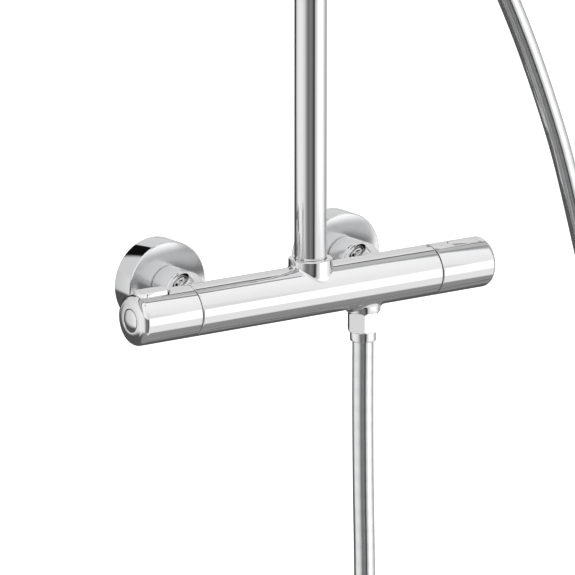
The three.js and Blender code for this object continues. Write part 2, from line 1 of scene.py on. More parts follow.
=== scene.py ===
# %% [markdown]
# # Rainfall shower column
# This lesson dresses a thermostatic shower column: a polished mixer bar on two wall unions, a riser tube
# with a sliding hand shower, a swivelling arm with a rain head, and one hanging hose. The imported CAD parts
# give every place and every motion. Blender adds fine surfaces, real finishes and the small details.

# %% Load the fixed frame
import math

import bmesh
import bpy
from mathutils import Matrix, Vector


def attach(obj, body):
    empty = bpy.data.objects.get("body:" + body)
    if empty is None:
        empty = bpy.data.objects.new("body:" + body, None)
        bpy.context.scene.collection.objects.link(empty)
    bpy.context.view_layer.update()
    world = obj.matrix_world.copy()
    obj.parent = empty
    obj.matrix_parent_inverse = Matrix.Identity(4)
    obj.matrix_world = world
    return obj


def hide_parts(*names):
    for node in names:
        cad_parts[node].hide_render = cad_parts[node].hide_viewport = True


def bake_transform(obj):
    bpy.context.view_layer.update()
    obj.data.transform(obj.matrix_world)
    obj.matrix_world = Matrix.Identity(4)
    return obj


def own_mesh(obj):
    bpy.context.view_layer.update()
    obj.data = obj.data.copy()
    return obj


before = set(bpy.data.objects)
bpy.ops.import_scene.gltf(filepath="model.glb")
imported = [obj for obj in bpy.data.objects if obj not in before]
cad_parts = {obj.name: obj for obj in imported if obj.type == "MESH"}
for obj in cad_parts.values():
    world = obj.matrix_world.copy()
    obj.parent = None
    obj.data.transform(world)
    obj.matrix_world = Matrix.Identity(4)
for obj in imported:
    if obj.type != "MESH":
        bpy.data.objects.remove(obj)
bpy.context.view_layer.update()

# %% [markdown]
# ## Units and places
# Plumbing is drawn in millimetres, and Blender works in metres. Each profile below is written in
# millimetres about its own axis, and one place matrix then turns it, moves it and scales it. Every finished
# object stays at the origin with its place in its mesh, as the CAD parts do.

# %% Units and places
MM = 0.001
WALL_TO_BAR = 85
BAR_AXIS = Matrix.Translation((0, -WALL_TO_BAR, 0))
ALONG_X = Matrix.Rotation(math.radians(90), 4, "Y")
ALONG_Y = Matrix.Rotation(math.radians(-90), 4, "X")
print("the bar's axis stands", WALL_TO_BAR, "mm off the wall")


def shift(x, y, z):
    return Matrix.Translation((x, y, z))


def turn(degrees, axis):
    return Matrix.Rotation(math.radians(degrees), 4, axis)


# %% [markdown]
# ## Camera
# A product shot of a tall column is taken from far away with a long lens, which keeps verticals almost
# parallel. The camera looks slightly down at the mixer bar from its left side.

# %% Camera
camera_data = bpy.data.cameras.new("camera")
camera_data.sensor_width = 36
camera_data.lens = 360.6
camera_data.clip_end = 100
camera = bpy.data.objects.new("camera", camera_data)
camera.location = (-2.22788, -3.25192, 0.97729)
camera.rotation_euler = (math.radians(75.86), 0, math.radians(-34.89))
bpy.context.scene.collection.objects.link(camera)
bpy.context.scene.camera = camera
print("camera at", tuple(camera.location), "lens", camera_data.lens, "mm")

# %% [markdown]
# ## Colours and nodes
# Finishes are picked as sRGB hex values, as from a colour chart, and a shader works in linear light, so one
# function converts them. One small function adds a node, sets what it is told and links its inputs.

# %% Colour and node helpers
def linear(hex_colour):
    channels = [int(hex_colour[i:i + 2], 16) / 255 for i in (1, 3, 5)]
    return (*[c / 12.92 if c <= 0.04045 else ((c + 0.055) / 1.055) ** 2.4 for c in channels], 1.0)


def add(tree, kind, inputs=(), **settings):
    """Adds a node with its attributes set. Inputs maps a socket's name or number to a value or an output."""
    node = tree.nodes.new(kind)
    for key, value in settings.items():
        setattr(node, key, value)
    for key, value in dict(inputs).items():
        if isinstance(value, bpy.types.NodeSocket):
            tree.links.new(value, node.inputs[key])
        else:
            node.inputs[key].default_value = value
    return node


def steps_of(ramp_node, stops):
    """Fills a colour ramp with (position, grey level) stops."""
    ramp = ramp_node.color_ramp
    while len(ramp.elements) > 1:
        ramp.elements.remove(ramp.elements[-1])
    for i, (position, grey) in enumerate(stops):
        stop = ramp.elements[0] if i == 0 else ramp.elements.new(position)
        stop.position = position
        stop.color = (grey, grey, grey, 1.0)


# %% [markdown]
# ## Finish: metal-effect hose skin
# The hose is soft PVC over a reinforced core, with a metallised layer under a clear outer skin. It reads as
# smooth silver with softer edges to its reflections than real chrome, and very faint winding lines that
# follow the tube. The lines come from the tube's own UV map, whose U is in metres along the hose.

# %% Hose material
def new_material(name, constants=()):
    """A material with one shader, whose constants are set by socket name."""
    material = bpy.data.materials.new(name)
    material.use_nodes = True
    tree = material.node_tree
    tree.nodes.clear()
    shader = add(tree, "ShaderNodeBsdfPrincipled", constants)
    add(tree, "ShaderNodeOutputMaterial", {"Surface": shader.outputs[0]})
    print("material:", name)
    return material, tree, shader


def wire(tree, shader, gloss, relief, shade_by=None, shades=()):
    """Gives a finish its gloss and its relief and, where it has two shades, a mix of them."""
    wires = [(gloss.outputs[0], "Roughness"), (relief.outputs[0], "Normal")]
    if shades:
        light, dark = (linear(shade) for shade in shades)
        tint = add(tree, "ShaderNodeMix", {0: shade_by, "A": light, "B": dark}, data_type="RGBA")
        wires.append((tint.outputs["Result"], "Base Color"))
    for output, socket in wires:
        tree.links.new(output, shader.inputs[socket])


WINDING_PITCH = 0.0032  # metres between winding lines; the real 1 mm pitch is too fine to show


def hose_skin():
    material, tree, shader = new_material("metallised PVC hose skin", {
        "Metallic": 0.97, "Coat Weight": 0.2, "Coat Roughness": 0.04,
    })
    uv = add(tree, "ShaderNodeUVMap", uv_map="along_and_round")
    skewed = add(tree, "ShaderNodeMapping", {"Vector": uv.outputs[0], "Scale": (1 / WINDING_PITCH, 1.0, 1.0)})
    winding = add(tree, "ShaderNodeTexWave", {"Vector": skewed.outputs[0], "Scale": 0.16},
                  bands_direction="DIAGONAL")
    body = add(tree, "ShaderNodeTexCoord")
    haze = add(tree, "ShaderNodeTexNoise", {"Vector": body.outputs["Object"], "Scale": 60.0, "Detail": 4.0})
    gloss = add(tree, "ShaderNodeMapRange", {0: haze.outputs["Fac"], 3: 0.03, 4: 0.06})
    relief = add(tree, "ShaderNodeBump", {
        "Height": winding.outputs["Fac"], "Strength": 0.02, "Distance": 0.0001,
    })
    wire(tree, shader, gloss, relief, winding.outputs["Fac"], ("#DADBDC", "#DFE0E1"))
    return material


HOSE_SKIN = hose_skin()

# %% [markdown]
# ## The hose
# A hand shower's hose is 1.75 m over its end fittings on such a column. It drops from the outlet under the
# bar, turns in one round loop below, and rises in an easy bow to the hand shower. The route's points are
# those of the CAD hose. Two joined lengths are made from one line: the long one runs from the fixed column
# to the slider, and the short one from the slider to the tilting holder.

# %% Hose route
HOSE_ROUTE = [
    (45, -85, -42.7), (45, -85, -90), (45.6, -85, -145), (46.8, -85, -200), (47.8, -85, -260),
    (48.6, -85.4, -305), (49.8, -86, -350), (54.6, -86.9, -398), (68.8, -89, -441), (91.1, -92.2, -475.4),
    (119.3, -96.2, -497.4), (150.5, -100.7, -505), (181.7, -105.2, -497.4), (209.9, -109.2, -475.4),
    (232.2, -112.3, -441), (246.4, -114.4, -398), (251.8, -115, -350), (253.5, -115, -300),
    (252.8, -115, -245), (250.6, -115, -192), (246, -115, -142), (238.6, -115, -92), (228.5, -115, -40),
    (215, -115, 10), (197, -115, 72), (186.5, -114.5, 103), (165.2, -110, 162), (139.5, -104, 222),
    (119.5, -98.5, 263), (100.5, -91.5, 307), (84, -83.5, 352), (70.5, -76, 397), (59.5, -70, 441),
    (51.5, -67, 484), (47, -68.5, 526), (46, -74.2, 558), (46, -79.2, 578.5),
]
HOSE_DIAMETER = 0.015
HOSE_STEP = 0.005  # metres between the tube's rings
TIP_LENGTH = 0.09  # metres of hose in the short length at the holder


def smooth_line(points, per_span=24):
    """A centripetal Catmull-Rom line through the points, in metres."""
    known = [Vector(p) * MM for p in points]
    known = [2 * known[0] - known[1], *known, 2 * known[-1] - known[-2]]
    line = []
    for before, a, b, after in zip(known, known[1:], known[2:], known[3:]):
        d0, d1, d2 = ((q - p).length ** 0.5 for p, q in ((before, a), (a, b), (b, after)))
        slope_a = ((a - before) / d0 - (b - before) / (d0 + d1) + (b - a) / d1) * d1
        slope_b = ((b - a) / d1 - (after - a) / (d1 + d2) + (after - b) / d2) * d1
        for i in range(per_span):
            t = i / per_span
            line.append(
                (2 * t**3 - 3 * t**2 + 1) * a + (t**3 - 2 * t**2 + t) * slope_a
                + (3 * t**2 - 2 * t**3) * b + (t**3 - t**2) * slope_b
            )
    return [*line, known[-2]]


def evenly(line, step):
    """The same line with points a step apart, or as near as gives a whole number of steps."""
    lengths = [0.0]
    for a, b in zip(line, line[1:]):
        lengths.append(lengths[-1] + (b - a).length)
    count = max(2, round(lengths[-1] / step))
    spaced, k = [], 0
    for i in range(count + 1):
        want = lengths[-1] * i / count
        while k < len(line) - 2 and lengths[k + 1] < want:
            k += 1
        share = (want - lengths[k]) / (lengths[k + 1] - lengths[k])
        spaced.append(line[k].lerp(line[k + 1], share))
    return spaced, lengths[-1]


hose_line, hose_length = evenly(smooth_line(HOSE_ROUTE), HOSE_STEP)
print(f"hose: {hose_length:.3f} m of flexible tube, {len(hose_line)} rings")

# %% [markdown]
# ## A tube along a line
# A ring of points is carried along the line without twist: each ring turns by the least rotation from the
# last one. The walls get a UV map that follows the tube, and both ends are closed.

# %% Tube maker
def tube(line, radius, sides):
    """A closed tube along a line of points, with its length and its turn in a UV map."""
    mesh = bmesh.new()
    uv = mesh.loops.layers.uv.new("along_and_round")
    ahead = (line[1] - line[0]).normalized()
    across = (ahead.orthogonal() if abs(ahead.x) > 0.9 else Vector((1, 0, 0)).cross(ahead)).normalized()
    rings, along, travelled = [], [], 0.0
    for i, point in enumerate(line):
        following = (line[min(i + 1, len(line) - 1)] - line[max(i - 1, 0)]).normalized()
        across = (ahead.rotation_difference(following) @ across).normalized()
        ahead = following
        up = ahead.cross(across)
        if i:
            travelled += (point - line[i - 1]).length
        angles = [2 * math.pi * k / sides for k in range(sides)]
        rings.append([mesh.verts.new(point + radius * (math.cos(a) * across + math.sin(a) * up))
                      for a in angles])
        along.append(travelled)
    for i in range(len(line) - 1):
        for k in range(sides):
            n = (k + 1) % sides
            face = mesh.faces.new((rings[i][k], rings[i][n], rings[i + 1][n], rings[i + 1][k]))
            places = [(along[i], k), (along[i], k + 1), (along[i + 1], k + 1), (along[i + 1], k)]
            for loop, (u, v) in zip(face.loops, places):
                loop[uv].uv = (u, v / sides)
    mesh.faces.new(list(reversed(rings[0])))
    mesh.faces.new(rings[-1])
    return mesh


# %% [markdown]
# ## Finishing a piece
# Every piece ends the same way: its normals are made to face out, edges sharper than a set angle stay crisp
# while the rest shade smoothly, and it gets its material, its body and the CAD nodes that it stands for.

# %% Piece finisher
CRISP = math.radians(32)
made_pieces = []


def mesh_object(name, mesh, material=None):
    """A linked object with this bmesh, shaded smooth but for its sharp edges."""
    bmesh.ops.recalc_face_normals(mesh, faces=mesh.faces)
    for face in mesh.faces:
        face.smooth = True
    for edge in mesh.edges:
        edge.smooth = len(edge.link_faces) == 2 and edge.calc_face_angle(0) < CRISP
    data = bpy.data.meshes.new(name)
    mesh.to_mesh(data)
    mesh.free()
    if material:
        data.materials.append(material)
    made = bpy.data.objects.new(name, data)
    bpy.context.scene.collection.objects.link(made)
    return made


def belongs(piece, body, slot, *nodes):
    """The piece rides on a body and stands for CAD nodes. The slot argument is not used."""
    if body:
        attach(piece, body)
    if nodes:
        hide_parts(*nodes)
    made_pieces.append(piece)
    print(f"{piece.name}: {len(piece.data.polygons)} faces, on {body or 'two bodies'}")
    return piece


# %% [markdown]
# ## The hose in two lengths
# One tube is made along the whole route and then parted at a ring, so the two lengths meet without a step.
# The length of each is worked out along its own line.

# %% Hose lengths
HOSE_SIDES = 28
tip_rings = round(TIP_LENGTH / HOSE_STEP)
main_line = hose_line[:-tip_rings]
tip_line = hose_line[-tip_rings - 1:]
whole = tube(hose_line, HOSE_DIAMETER / 2, HOSE_SIDES)


def cut_length(mesh, first, last):
    """Keeps rings first to last of the whole tube and closes both ends."""
    part = mesh.copy()
    part.verts.ensure_lookup_table()
    gone = [v for i, v in enumerate(part.verts) if not first <= i // HOSE_SIDES <= last]
    bmesh.ops.delete(part, geom=gone, context="VERTS")
    bmesh.ops.holes_fill(part, edges=part.edges, sides=0)
    return part


split = len(hose_line) - 1 - tip_rings
hose_main = mesh_object("shower_hose_rise", cut_length(whole, 0, split), HOSE_SKIN)
hose_tip = mesh_object("shower_hose_tip", cut_length(whole, split, len(hose_line) - 1), HOSE_SKIN)
whole.free()
main_length = evenly(main_line, HOSE_STEP)[1]
tip_length = evenly(tip_line, HOSE_STEP)[1]
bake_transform(hose_main)
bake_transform(hose_tip)
belongs(hose_main, None, "hose", "shower_hose")
belongs(hose_tip, None, "hose", "shower_hose")

# %% [markdown]
# ## Finish: polished chrome
# Brass castings are buffed, then plated with nickel and a thin layer of chromium. The plate is almost a
# mirror with a slight cool tint. What tells it from a computed mirror is a faint buffing haze, which
# changes the roughness a little from place to place, and a very shallow waviness left by the polishing
# wheel.

# %% Polished chrome
def mirror_metal(name, hex_colour, rough, wave_size, wave_depth):
    """A plated metal: haze drives the roughness, and a shallow wave bends its reflections."""
    material, tree, shader = new_material(name, {"Base Color": linear(hex_colour), "Metallic": 1.0})
    place = add(tree, "ShaderNodeTexCoord").outputs["Object"]
    haze = add(tree, "ShaderNodeTexNoise", {"Vector": place, "Scale": 55.0, "Detail": 5.0}).outputs["Fac"]
    wave = add(tree, "ShaderNodeTexNoise", {"Vector": place, "Scale": 1 / wave_size, "Detail": 1.0})
    gloss = add(tree, "ShaderNodeMapRange", {0: haze, 1: 0.35, 2: 0.7, 3: rough[0], 4: rough[1]})
    relief = add(tree, "ShaderNodeBump", {
        "Height": wave.outputs["Fac"], "Strength": 1.0, "Distance": wave_depth,
    })
    wire(tree, shader, gloss, relief)
    return material


CHROME = mirror_metal("polished chrome plate on brass", "#E6E6E7", (0.025, 0.06), 0.03, 0.00003)
TUBE_CHROME = mirror_metal("chrome plate on drawn tube", "#E6E6E7", (0.02, 0.05), 0.06, 0.00002)

# %% [markdown]
# ## Finish: spun chrome
# An escutcheon is pressed and spun from thin brass sheet. Its rim is buffed as bright as the castings, but
# the flat front keeps a softer spun haze under its plate, so it blurs what it reflects. The haze starts
# where the front does, 19 mm off the wall.

# %% Spun chrome
def soften_front(material, rim, face, haze):
    """Adds haze to a material's roughness between two distances off the wall, in metres."""
    tree = material.node_tree
    shader = next(node for node in tree.nodes if node.type == "BSDF_PRINCIPLED")
    roughness = shader.inputs["Roughness"]
    place = add(tree, "ShaderNodeTexCoord").outputs["Object"]
    off_wall = add(tree, "ShaderNodeSeparateXYZ", {0: place}).outputs["Y"]
    front = add(tree, "ShaderNodeMapRange", {0: off_wall, 1: -rim, 2: -face, 3: 0.0, 4: haze})
    softer = add(tree, "ShaderNodeMath", {0: roughness.links[0].from_socket, 1: front.outputs[0]})
    tree.links.new(softer.outputs[0], roughness)


SPUN_CHROME = mirror_metal("chrome plate on spun brass", "#E2E3E4", (0.025, 0.06), 0.03, 0.00003)
soften_front(SPUN_CHROME, 0.0182, 0.019, 0.16)

# %% [markdown]
# ## Finish: chromed plastic
# The hand shower, its holder and the rosette are moulded ABS with the same plating. Moulded parts show a
# little more waviness over their ribs, and a softer, slightly darker reflection than plated brass.

# %% Chromed ABS
CHROMED_ABS = mirror_metal("chrome plate on moulded ABS", "#DFE0E1", (0.04, 0.085), 0.045, 0.00007)

# %% [markdown]
# ## Finish: plain metals
# Threads and sleeves inside the fitting are turned brass, and the screws and springs are stainless steel.
# Both keep fine rings or drawing lines from the tool, drawn here at about half a millimetre so that they
# show.

# %% Brass and steel
def tooled_metal(name, shades, rough, ring_pitch):
    """A plain metal with fine tool rings in its relief and a faint stain in its colour and gloss."""
    material, tree, shader = new_material(name, {"Metallic": 1.0})
    place = add(tree, "ShaderNodeTexCoord").outputs["Object"]
    rings = add(tree, "ShaderNodeTexWave", {
        "Vector": place, "Scale": 0.16 / ring_pitch, "Distortion": 1.5, "Detail": 2.0,
    })
    stain = add(tree, "ShaderNodeTexNoise", {"Vector": place, "Scale": 90.0, "Detail": 4.0}).outputs["Fac"]
    gloss = add(tree, "ShaderNodeMapRange", {0: stain, 3: rough[0], 4: rough[1]})
    relief = add(tree, "ShaderNodeBump", {
        "Height": rings.outputs["Fac"], "Strength": 0.3, "Distance": 0.00005,
    })
    wire(tree, shader, gloss, relief, stain, shades)
    return material


BRASS = tooled_metal("turned brass", ("#B9975B", "#A78449"), (0.25, 0.38), 0.0005)
STEEL = tooled_metal("stainless steel, drawn", ("#A9ADB0", "#9DA1A5"), (0.25, 0.4), 0.0005)

# %% [markdown]
# ## Finish: rubber and plastics
# Washers are black EPDM with a matt moulded skin. Stop rings and valves are grey acetal. The spray faces
# are white ABS with a fine spark-eroded grain, and the nozzles are pale grey silicone, which is soft enough
# to rub lime off. All of them share one recipe: a grain in the relief, and a slight mottling of colour and
# gloss.

# %% Rubber and plastics
def moulded(name, shades, rough, grain_size, grain_depth):
    """A moulded skin: its grain makes the relief and the gloss, and a soft cloud mixes the two shades."""
    material, tree, shader = new_material(name)
    place = add(tree, "ShaderNodeTexCoord").outputs["Object"]
    grain = add(tree, "ShaderNodeTexNoise", {"Vector": place, "Scale": 1 / grain_size, "Detail": 3.0})
    cloud = add(tree, "ShaderNodeTexNoise", {"Vector": place, "Scale": 45.0, "Detail": 3.0})
    gloss = add(tree, "ShaderNodeMapRange", {0: grain.outputs["Fac"], 3: rough[0], 4: rough[1]})
    relief = add(tree, "ShaderNodeBump", {
        "Height": grain.outputs["Fac"], "Strength": 0.4, "Distance": grain_depth,
    })
    wire(tree, shader, gloss, relief, cloud.outputs["Fac"], shades)
    return material


RUBBER = moulded("black EPDM rubber", ("#262729", "#303134"), (0.6, 0.8), 0.0008, 0.00006)
GREY_ACETAL = moulded("grey acetal, moulded", ("#85898D", "#8F9397"), (0.38, 0.5), 0.0007, 0.00003)
WHITE_ABS = moulded("white ABS, spark-eroded grain", ("#E2E4E5", "#ECEDED"), (0.3, 0.42), 0.0007, 0.00003)
SILICONE = moulded("pale grey silicone", ("#A3A8AC", "#B1B6B9"), (0.45, 0.6), 0.0006, 0.00002)
ENAMEL = moulded("dark enamel, filled in", ("#2C2E30", "#37393B"), (0.3, 0.4), 0.0006, 0.00001)
FINISHES = {
    "chrome": CHROME, "chromed_plastic": CHROMED_ABS, "brass": BRASS, "steel": STEEL, "rubber": RUBBER,
    "grey_plastic": GREY_ACETAL, "white_plastic": WHITE_ABS, "hose": HOSE_SKIN,
}
print("finishes:", len(FINISHES) + 3)

# %% [markdown]
# ## Turned pieces
# Most of a tap is turned on a lathe, so most pieces are a profile spun round an axis. A real edge is never
# perfectly sharp: each corner of the profile is rounded first, by a radius that the piece can afford, and
# that small round is what catches the light along every rim.

# %% Profile and lathe
def eased(profile, radius, steps=4):
    """The profile with each corner off the axis rounded by at most that radius."""
    count, points = len(profile), []
    for i, here in enumerate(profile):
        before, after = Vector(profile[i - 1]), Vector(profile[(i + 1) % count])
        corner = Vector(here)
        into, out = before - corner, after - corner
        if here[0] <= 0 or into.length < 1e-6 or out.length < 1e-6:
            points.append(tuple(here))
            continue
        bend = math.pi - into.angle(out)
        reach = min(radius * math.tan(bend / 2), 0.42 * into.length, 0.42 * out.length)
        if bend < math.radians(20):
            points.append(tuple(here))
            continue
        a, b = corner + into.normalized() * reach, corner + out.normalized() * reach
        for k in range(steps + 1):
            t = k / steps
            points.append(tuple((1 - t) ** 2 * a + 2 * t * (1 - t) * corner + t**2 * b))
    return points


def arc(centre_r, centre_h, radius, first, last, steps):
    """Profile points on an arc, angles in degrees from outward."""
    angles = [math.radians(first + (last - first) * i / steps) for i in range(steps + 1)]
    return [(centre_r + radius * math.cos(a), centre_h + radius * math.sin(a)) for a in angles]


def spun(profile_at, place=None, sides=96):
    """A closed shape round +Z in mm: profile_at gives the (radius, height) points for each angle."""
    mesh = bmesh.new()
    angles = [2 * math.pi * k / sides for k in range(sides)]
    rings = []
    for row in zip(*[profile_at(a) for a in angles]):
        if row[0][0] <= 1e-6:
            rings.append([mesh.verts.new((0, 0, row[0][1]))])
            continue
        rings.append([mesh.verts.new((r * math.cos(a), r * math.sin(a), h))
                      for a, (r, h) in zip(angles, row)])
    for low, high in zip(rings, [*rings[1:], rings[0]]):
        for k in range(sides):
            n = (k + 1) % sides
            corners = [low[k % len(low)], low[n % len(low)], high[n % len(high)], high[k % len(high)]]
            corners = list(dict.fromkeys(corners))
            if len(corners) > 2:
                mesh.faces.new(corners)
    mesh.transform(place or Matrix())
    return mesh


def turned(profile, place=None, edge=0.3, sides=96):
    """One (radius, height) profile in mm, eased and spun all round."""
    points = eased(profile, edge) if edge else profile
    return spun(lambda _: points, place, sides)


def rod(radius, low, high, place=None, sides=96, edge=0.0):
    return turned([(0, low), (radius, low), (radius, high), (0, high)], place, edge, sides)


def pipe(outer, inner, low, high, place=None, edge=0.3, sides=96):
    return turned([(inner, low), (outer, low), (outer, high), (inner, high)], place, edge, sides)


def block(x, y, z, place=None):
    """A box from three (low, high) pairs in mm."""
    mesh = bmesh.new()
    bmesh.ops.create_cube(mesh, size=1)
    for v in mesh.verts:
        v.co = [low + (high - low) * (c + 0.5) for c, (low, high) in zip(v.co, (x, y, z))]
    mesh.transform(place or Matrix())
    return mesh


def prism(outline, low, high, place=None, top=None):
    """A flat outline of (x, y) points in mm, drawn up to another height or to another outline there."""
    mesh = bmesh.new()
    floor = [mesh.verts.new((*p, low)) for p in outline]
    roof = [mesh.verts.new((*p, high)) for p in top or outline]
    mesh.faces.new(floor)
    mesh.faces.new(roof)
    for i in range(len(outline)):
        n = (i + 1) % len(outline)
        mesh.faces.new((floor[i], floor[n], roof[n], roof[i]))
    mesh.transform(place or Matrix())
    return mesh


def polygon(radius, corners):
    angles = [math.radians(360 * k / corners) for k in range(corners)]
    return [(radius * math.cos(a), radius * math.sin(a)) for a in angles]


# %% [markdown]
# ## Joining and cutting
# A cast body is one skin over several turned shapes, with bores cut into it. Boolean modifiers make that
# skin, and a narrow bevel along the new edges gives the small fillet that polishing leaves there.

# %% Boolean helper
BEVEL_FROM = math.radians(38)  # edges flatter than this stay as they are


def shaped(bodies, cuts=(), common=(), bevel=0.0):
    """Joins the bodies, keeps what is common with others, takes the cuts away, and eases the edges left."""
    first, *others = bodies
    work = mesh_object("work", first)
    helpers = []
    for mode, meshes in (("UNION", others), ("INTERSECT", common), ("DIFFERENCE", cuts)):
        for mesh in meshes:
            helper = mesh_object("helper", mesh)
            helpers.append(helper)
            step = work.modifiers.new("step", "BOOLEAN")
            step.operation, step.object, step.solver = mode, helper, "MANIFOLD"
    if bevel:
        ease = work.modifiers.new("ease", "BEVEL")
        ease.width, ease.segments, ease.limit_method = bevel, 2, "ANGLE"
        ease.angle_limit = BEVEL_FROM
        ease.use_clamp_overlap, ease.loop_slide = True, False
    result = bmesh.new()
    evaluated = work.evaluated_get(bpy.context.evaluated_depsgraph_get())
    data = bpy.data.meshes.new_from_object(evaluated)
    result.from_mesh(data)
    bpy.data.meshes.remove(data)
    for extra in (work, *helpers):
        bpy.data.objects.remove(extra)
    bmesh.ops.remove_doubles(result, verts=result.verts, dist=0.002)
    return result


def part(name, mesh, body, *nodes, slot="chrome", material=None, place=BAR_AXIS):
    """A finished piece from a mesh in mm: in place, in metres, with its finish and its body."""
    mesh.transform(Matrix.Scale(MM, 4) @ place)
    return belongs(mesh_object(name, mesh, material or FINISHES[slot]), body, slot, *nodes)


# %% [markdown]
# ## Mixer body
# The bar is one brass casting: a long tube for the two cartridges, two inlet bosses towards the wall, a
# collar that takes the riser, a flared boss under it for the hose, and a small slanting boss with a service
# plug on each inlet. It is made as turned shapes joined into one skin, then bored.

# %% Mixer body
BAR_R = 18
BODY_END = 101.3
UNION_X = 75
OUTLET_X = 45
COLLAR_R, COLLAR_TOP = 15.4, 23.3
TUBE_R = 11.25
PLUG_LEAN, PLUG_FACE = 42, 14.5
SIDES = (("right", 1), ("left", -1))


def saddle_boss(radius, face, spread, rise, edge, place=None, sides=128):
    """A round boss up out of the bar. Its foot flares by spread[0] along the bar and spread[1] across."""
    def profile(angle):
        across = math.sin(angle) ** 2
        reach = spread[0] + (spread[1] - spread[0]) * across
        foot = radius + reach
        skin = math.sqrt(BAR_R**2 - foot**2 * across)
        foot_z = skin - 0.04
        corner_z = foot_z + foot * across * reach / skin
        wall_z = min(corner_z + rise, face - edge - 0.1)
        flare = [(radius + reach * t * t, (1 - t) ** 2 * wall_z + 2 * t * (1 - t) * corner_z + t * t * foot_z)
                 for t in (1, 0.86, 0.72, 0.58, 0.44, 0.3, 0.15, 0)]
        return [(0, 6), (radius - 3, 6), *flare, *arc(radius - edge, face - edge, edge, 0, 90, 6), (0, face)]
    return spun(profile, place, sides)


def plug_place(side):
    return shift(side * UNION_X, 36, 0) @ turn(-PLUG_LEAN, "Y")


barrel = turned([(0, -BODY_END), (BAR_R, -BODY_END), (BAR_R, BODY_END), (0, BODY_END)], ALONG_X, 1.1, 160)
collar = saddle_boss(COLLAR_R, COLLAR_TOP, (2.4, 1.2), 2.2, 0.9)
outlet = saddle_boss(12.2, 21, (4.3, 2.0), 2.6, 0.4, shift(OUTLET_X, 0, 0) @ turn(180, "X"))
inlet_profile = [
    (0, 29), (10.6, 29), (10.75, 30), (10.9, 31), (11.2, 32.5), (11.8, 34.5), (12.55, 36.5), (13.3, 38.2),
    (14, 40), (14.6, 41.6), (14.9, 42.6), (15, 43.4), (15, 45), (10, 45), (10, 53), (13, 53), (13, 55.2),
    (0, 55.2),
]
castings = [barrel, collar, outlet]
bores = [rod(13, 30, 110, ALONG_X), rod(13, -110, -30, ALONG_X)]
for _, side in SIDES:
    inlet = shift(side * UNION_X, 0, 0) @ ALONG_Y
    castings += [saddle_boss(10.6, 31, (6, 3), 4, 0.2, inlet),
                 turned(inlet_profile, inlet, 0.4, 96),
                 turned([(0, 4), (8, 4), (8, PLUG_FACE), (0, PLUG_FACE)], plug_place(side), 0.7, 64)]
    bores += [rod(8.4, 30, 60, inlet, 64), rod(5.75, 4, 20, plug_place(side), 48)]
bores += [rod(TUBE_R + 0.35, 9, 30), rod(8.3, -30, -12, shift(OUTLET_X, 0, 0), 64)]
part("mixer_body_casting", shaped(castings, bores, bevel=0.3), "root", "mixer_body")

# %% [markdown]
# ## Handles
# Both ends of the bar turn. Each handle is a turned sleeve with a softly rounded end and a round cap in it.
# A stop button sits in a slot on top: flush on the temperature side, and a raised grip on the flow side. A
# shallow scoop opposite gives the fingers a hold. The narrow slit beside the fixed body is the only sign of
# the joint, so its two rims are eased and left to catch the light.

# %% Handles, caps and buttons
HANDLE_FROM, BAR_END = 101.9, 149
GRIP_TURN = 8
RIGHT_END = BAR_AXIS @ turn(GRIP_TURN, "X")
LEFT_END = BAR_AXIS @ turn(GRIP_TURN, "X") @ turn(180, "Z")
END_ROUND = 4.5


def pointed(span, half, slack=0.0):
    """A stop button's outline: a bar along X with its inner end drawn to a point."""
    tip = 4.6
    low, high = span[0] - 1.5 * slack, span[1] + slack
    reach = half + slack
    return [(low, 0), (low + tip, -reach), (high, -reach), (high, reach), (low + tip, reach)]


SCOOP_HALF, SCOOP_DEPTH = 12.75, 1.5


def handle(slot_span, slot_half):
    """A turned sleeve with a button's slot on top and a finger scoop opposite."""
    dome = [(r, BAR_END + 0.6 * (1 - ((r - 8.1) / 5.4) ** 2)) for r in (12.4, 11.3, 10.2, 9.1, 8.35)]
    sleeve = turned([
        (16.4, HANDLE_FROM), *arc(BAR_R - 0.6, HANDLE_FROM + 0.6, 0.6, -90, 0, 6),
        *arc(BAR_R - END_ROUND, BAR_END - END_ROUND, END_ROUND, 0, 90, 10), *dome,
        (8.1, BAR_END + 0.35), (8.1, 146.2), (2.4, 146.2), (2.4, 121), (7.35, 121), (7.35, 109), (16.4, 109),
    ], ALONG_X, 0.25, 160)
    well = prism(pointed(slot_span, slot_half, slack=0.3), 9, 24)
    scoop_r = (SCOOP_HALF**2 + SCOOP_DEPTH**2) / (2 * SCOOP_DEPTH)
    at_scoop = shift(sum(slot_span) / 2, 0, SCOOP_DEPTH - BAR_R - scoop_r)
    scoop = rod(scoop_r, -24, 24, at_scoop @ ALONG_Y, 420)
    return shaped([sleeve], [well, scoop], bevel=0.25)


BUTTON_SPAN, BUTTON_HALF = (116, 140.5), 4.9
GRIP_SPAN, GRIP_HALF = (118.7, 146), 5
part("temperature_handle_sleeve", handle(BUTTON_SPAN, BUTTON_HALF), "temperature", "temperature_handle",
     place=RIGHT_END)
part("flow_handle_sleeve", handle(GRIP_SPAN, GRIP_HALF), "flow", "flow_handle", place=LEFT_END)
BUTTON_FOOT = 11.2


def spring_seat(span):
    """The bore in a button's foot that takes the top of its spring."""
    return rod(2.4, 10, 16.2, shift(sum(span) / 2, 0, 0), 24)


button = shaped([prism(pointed(BUTTON_SPAN, BUTTON_HALF), BUTTON_FOOT, 22)], [spring_seat(BUTTON_SPAN)],
                [rod(BAR_R, 110, 146, ALONG_X, 160)], bevel=0.4)
part("temperature_stop_button", button, "temperature_button", "temperature_button", place=RIGHT_END)

# %% [markdown]
# ## Raised grip
# The flow side's stop has the same pointed outline, but stands 2 mm above the handle. A small square window
# in its front flank, near the outer end, is cut in. Its flanks lean in a little towards the top.

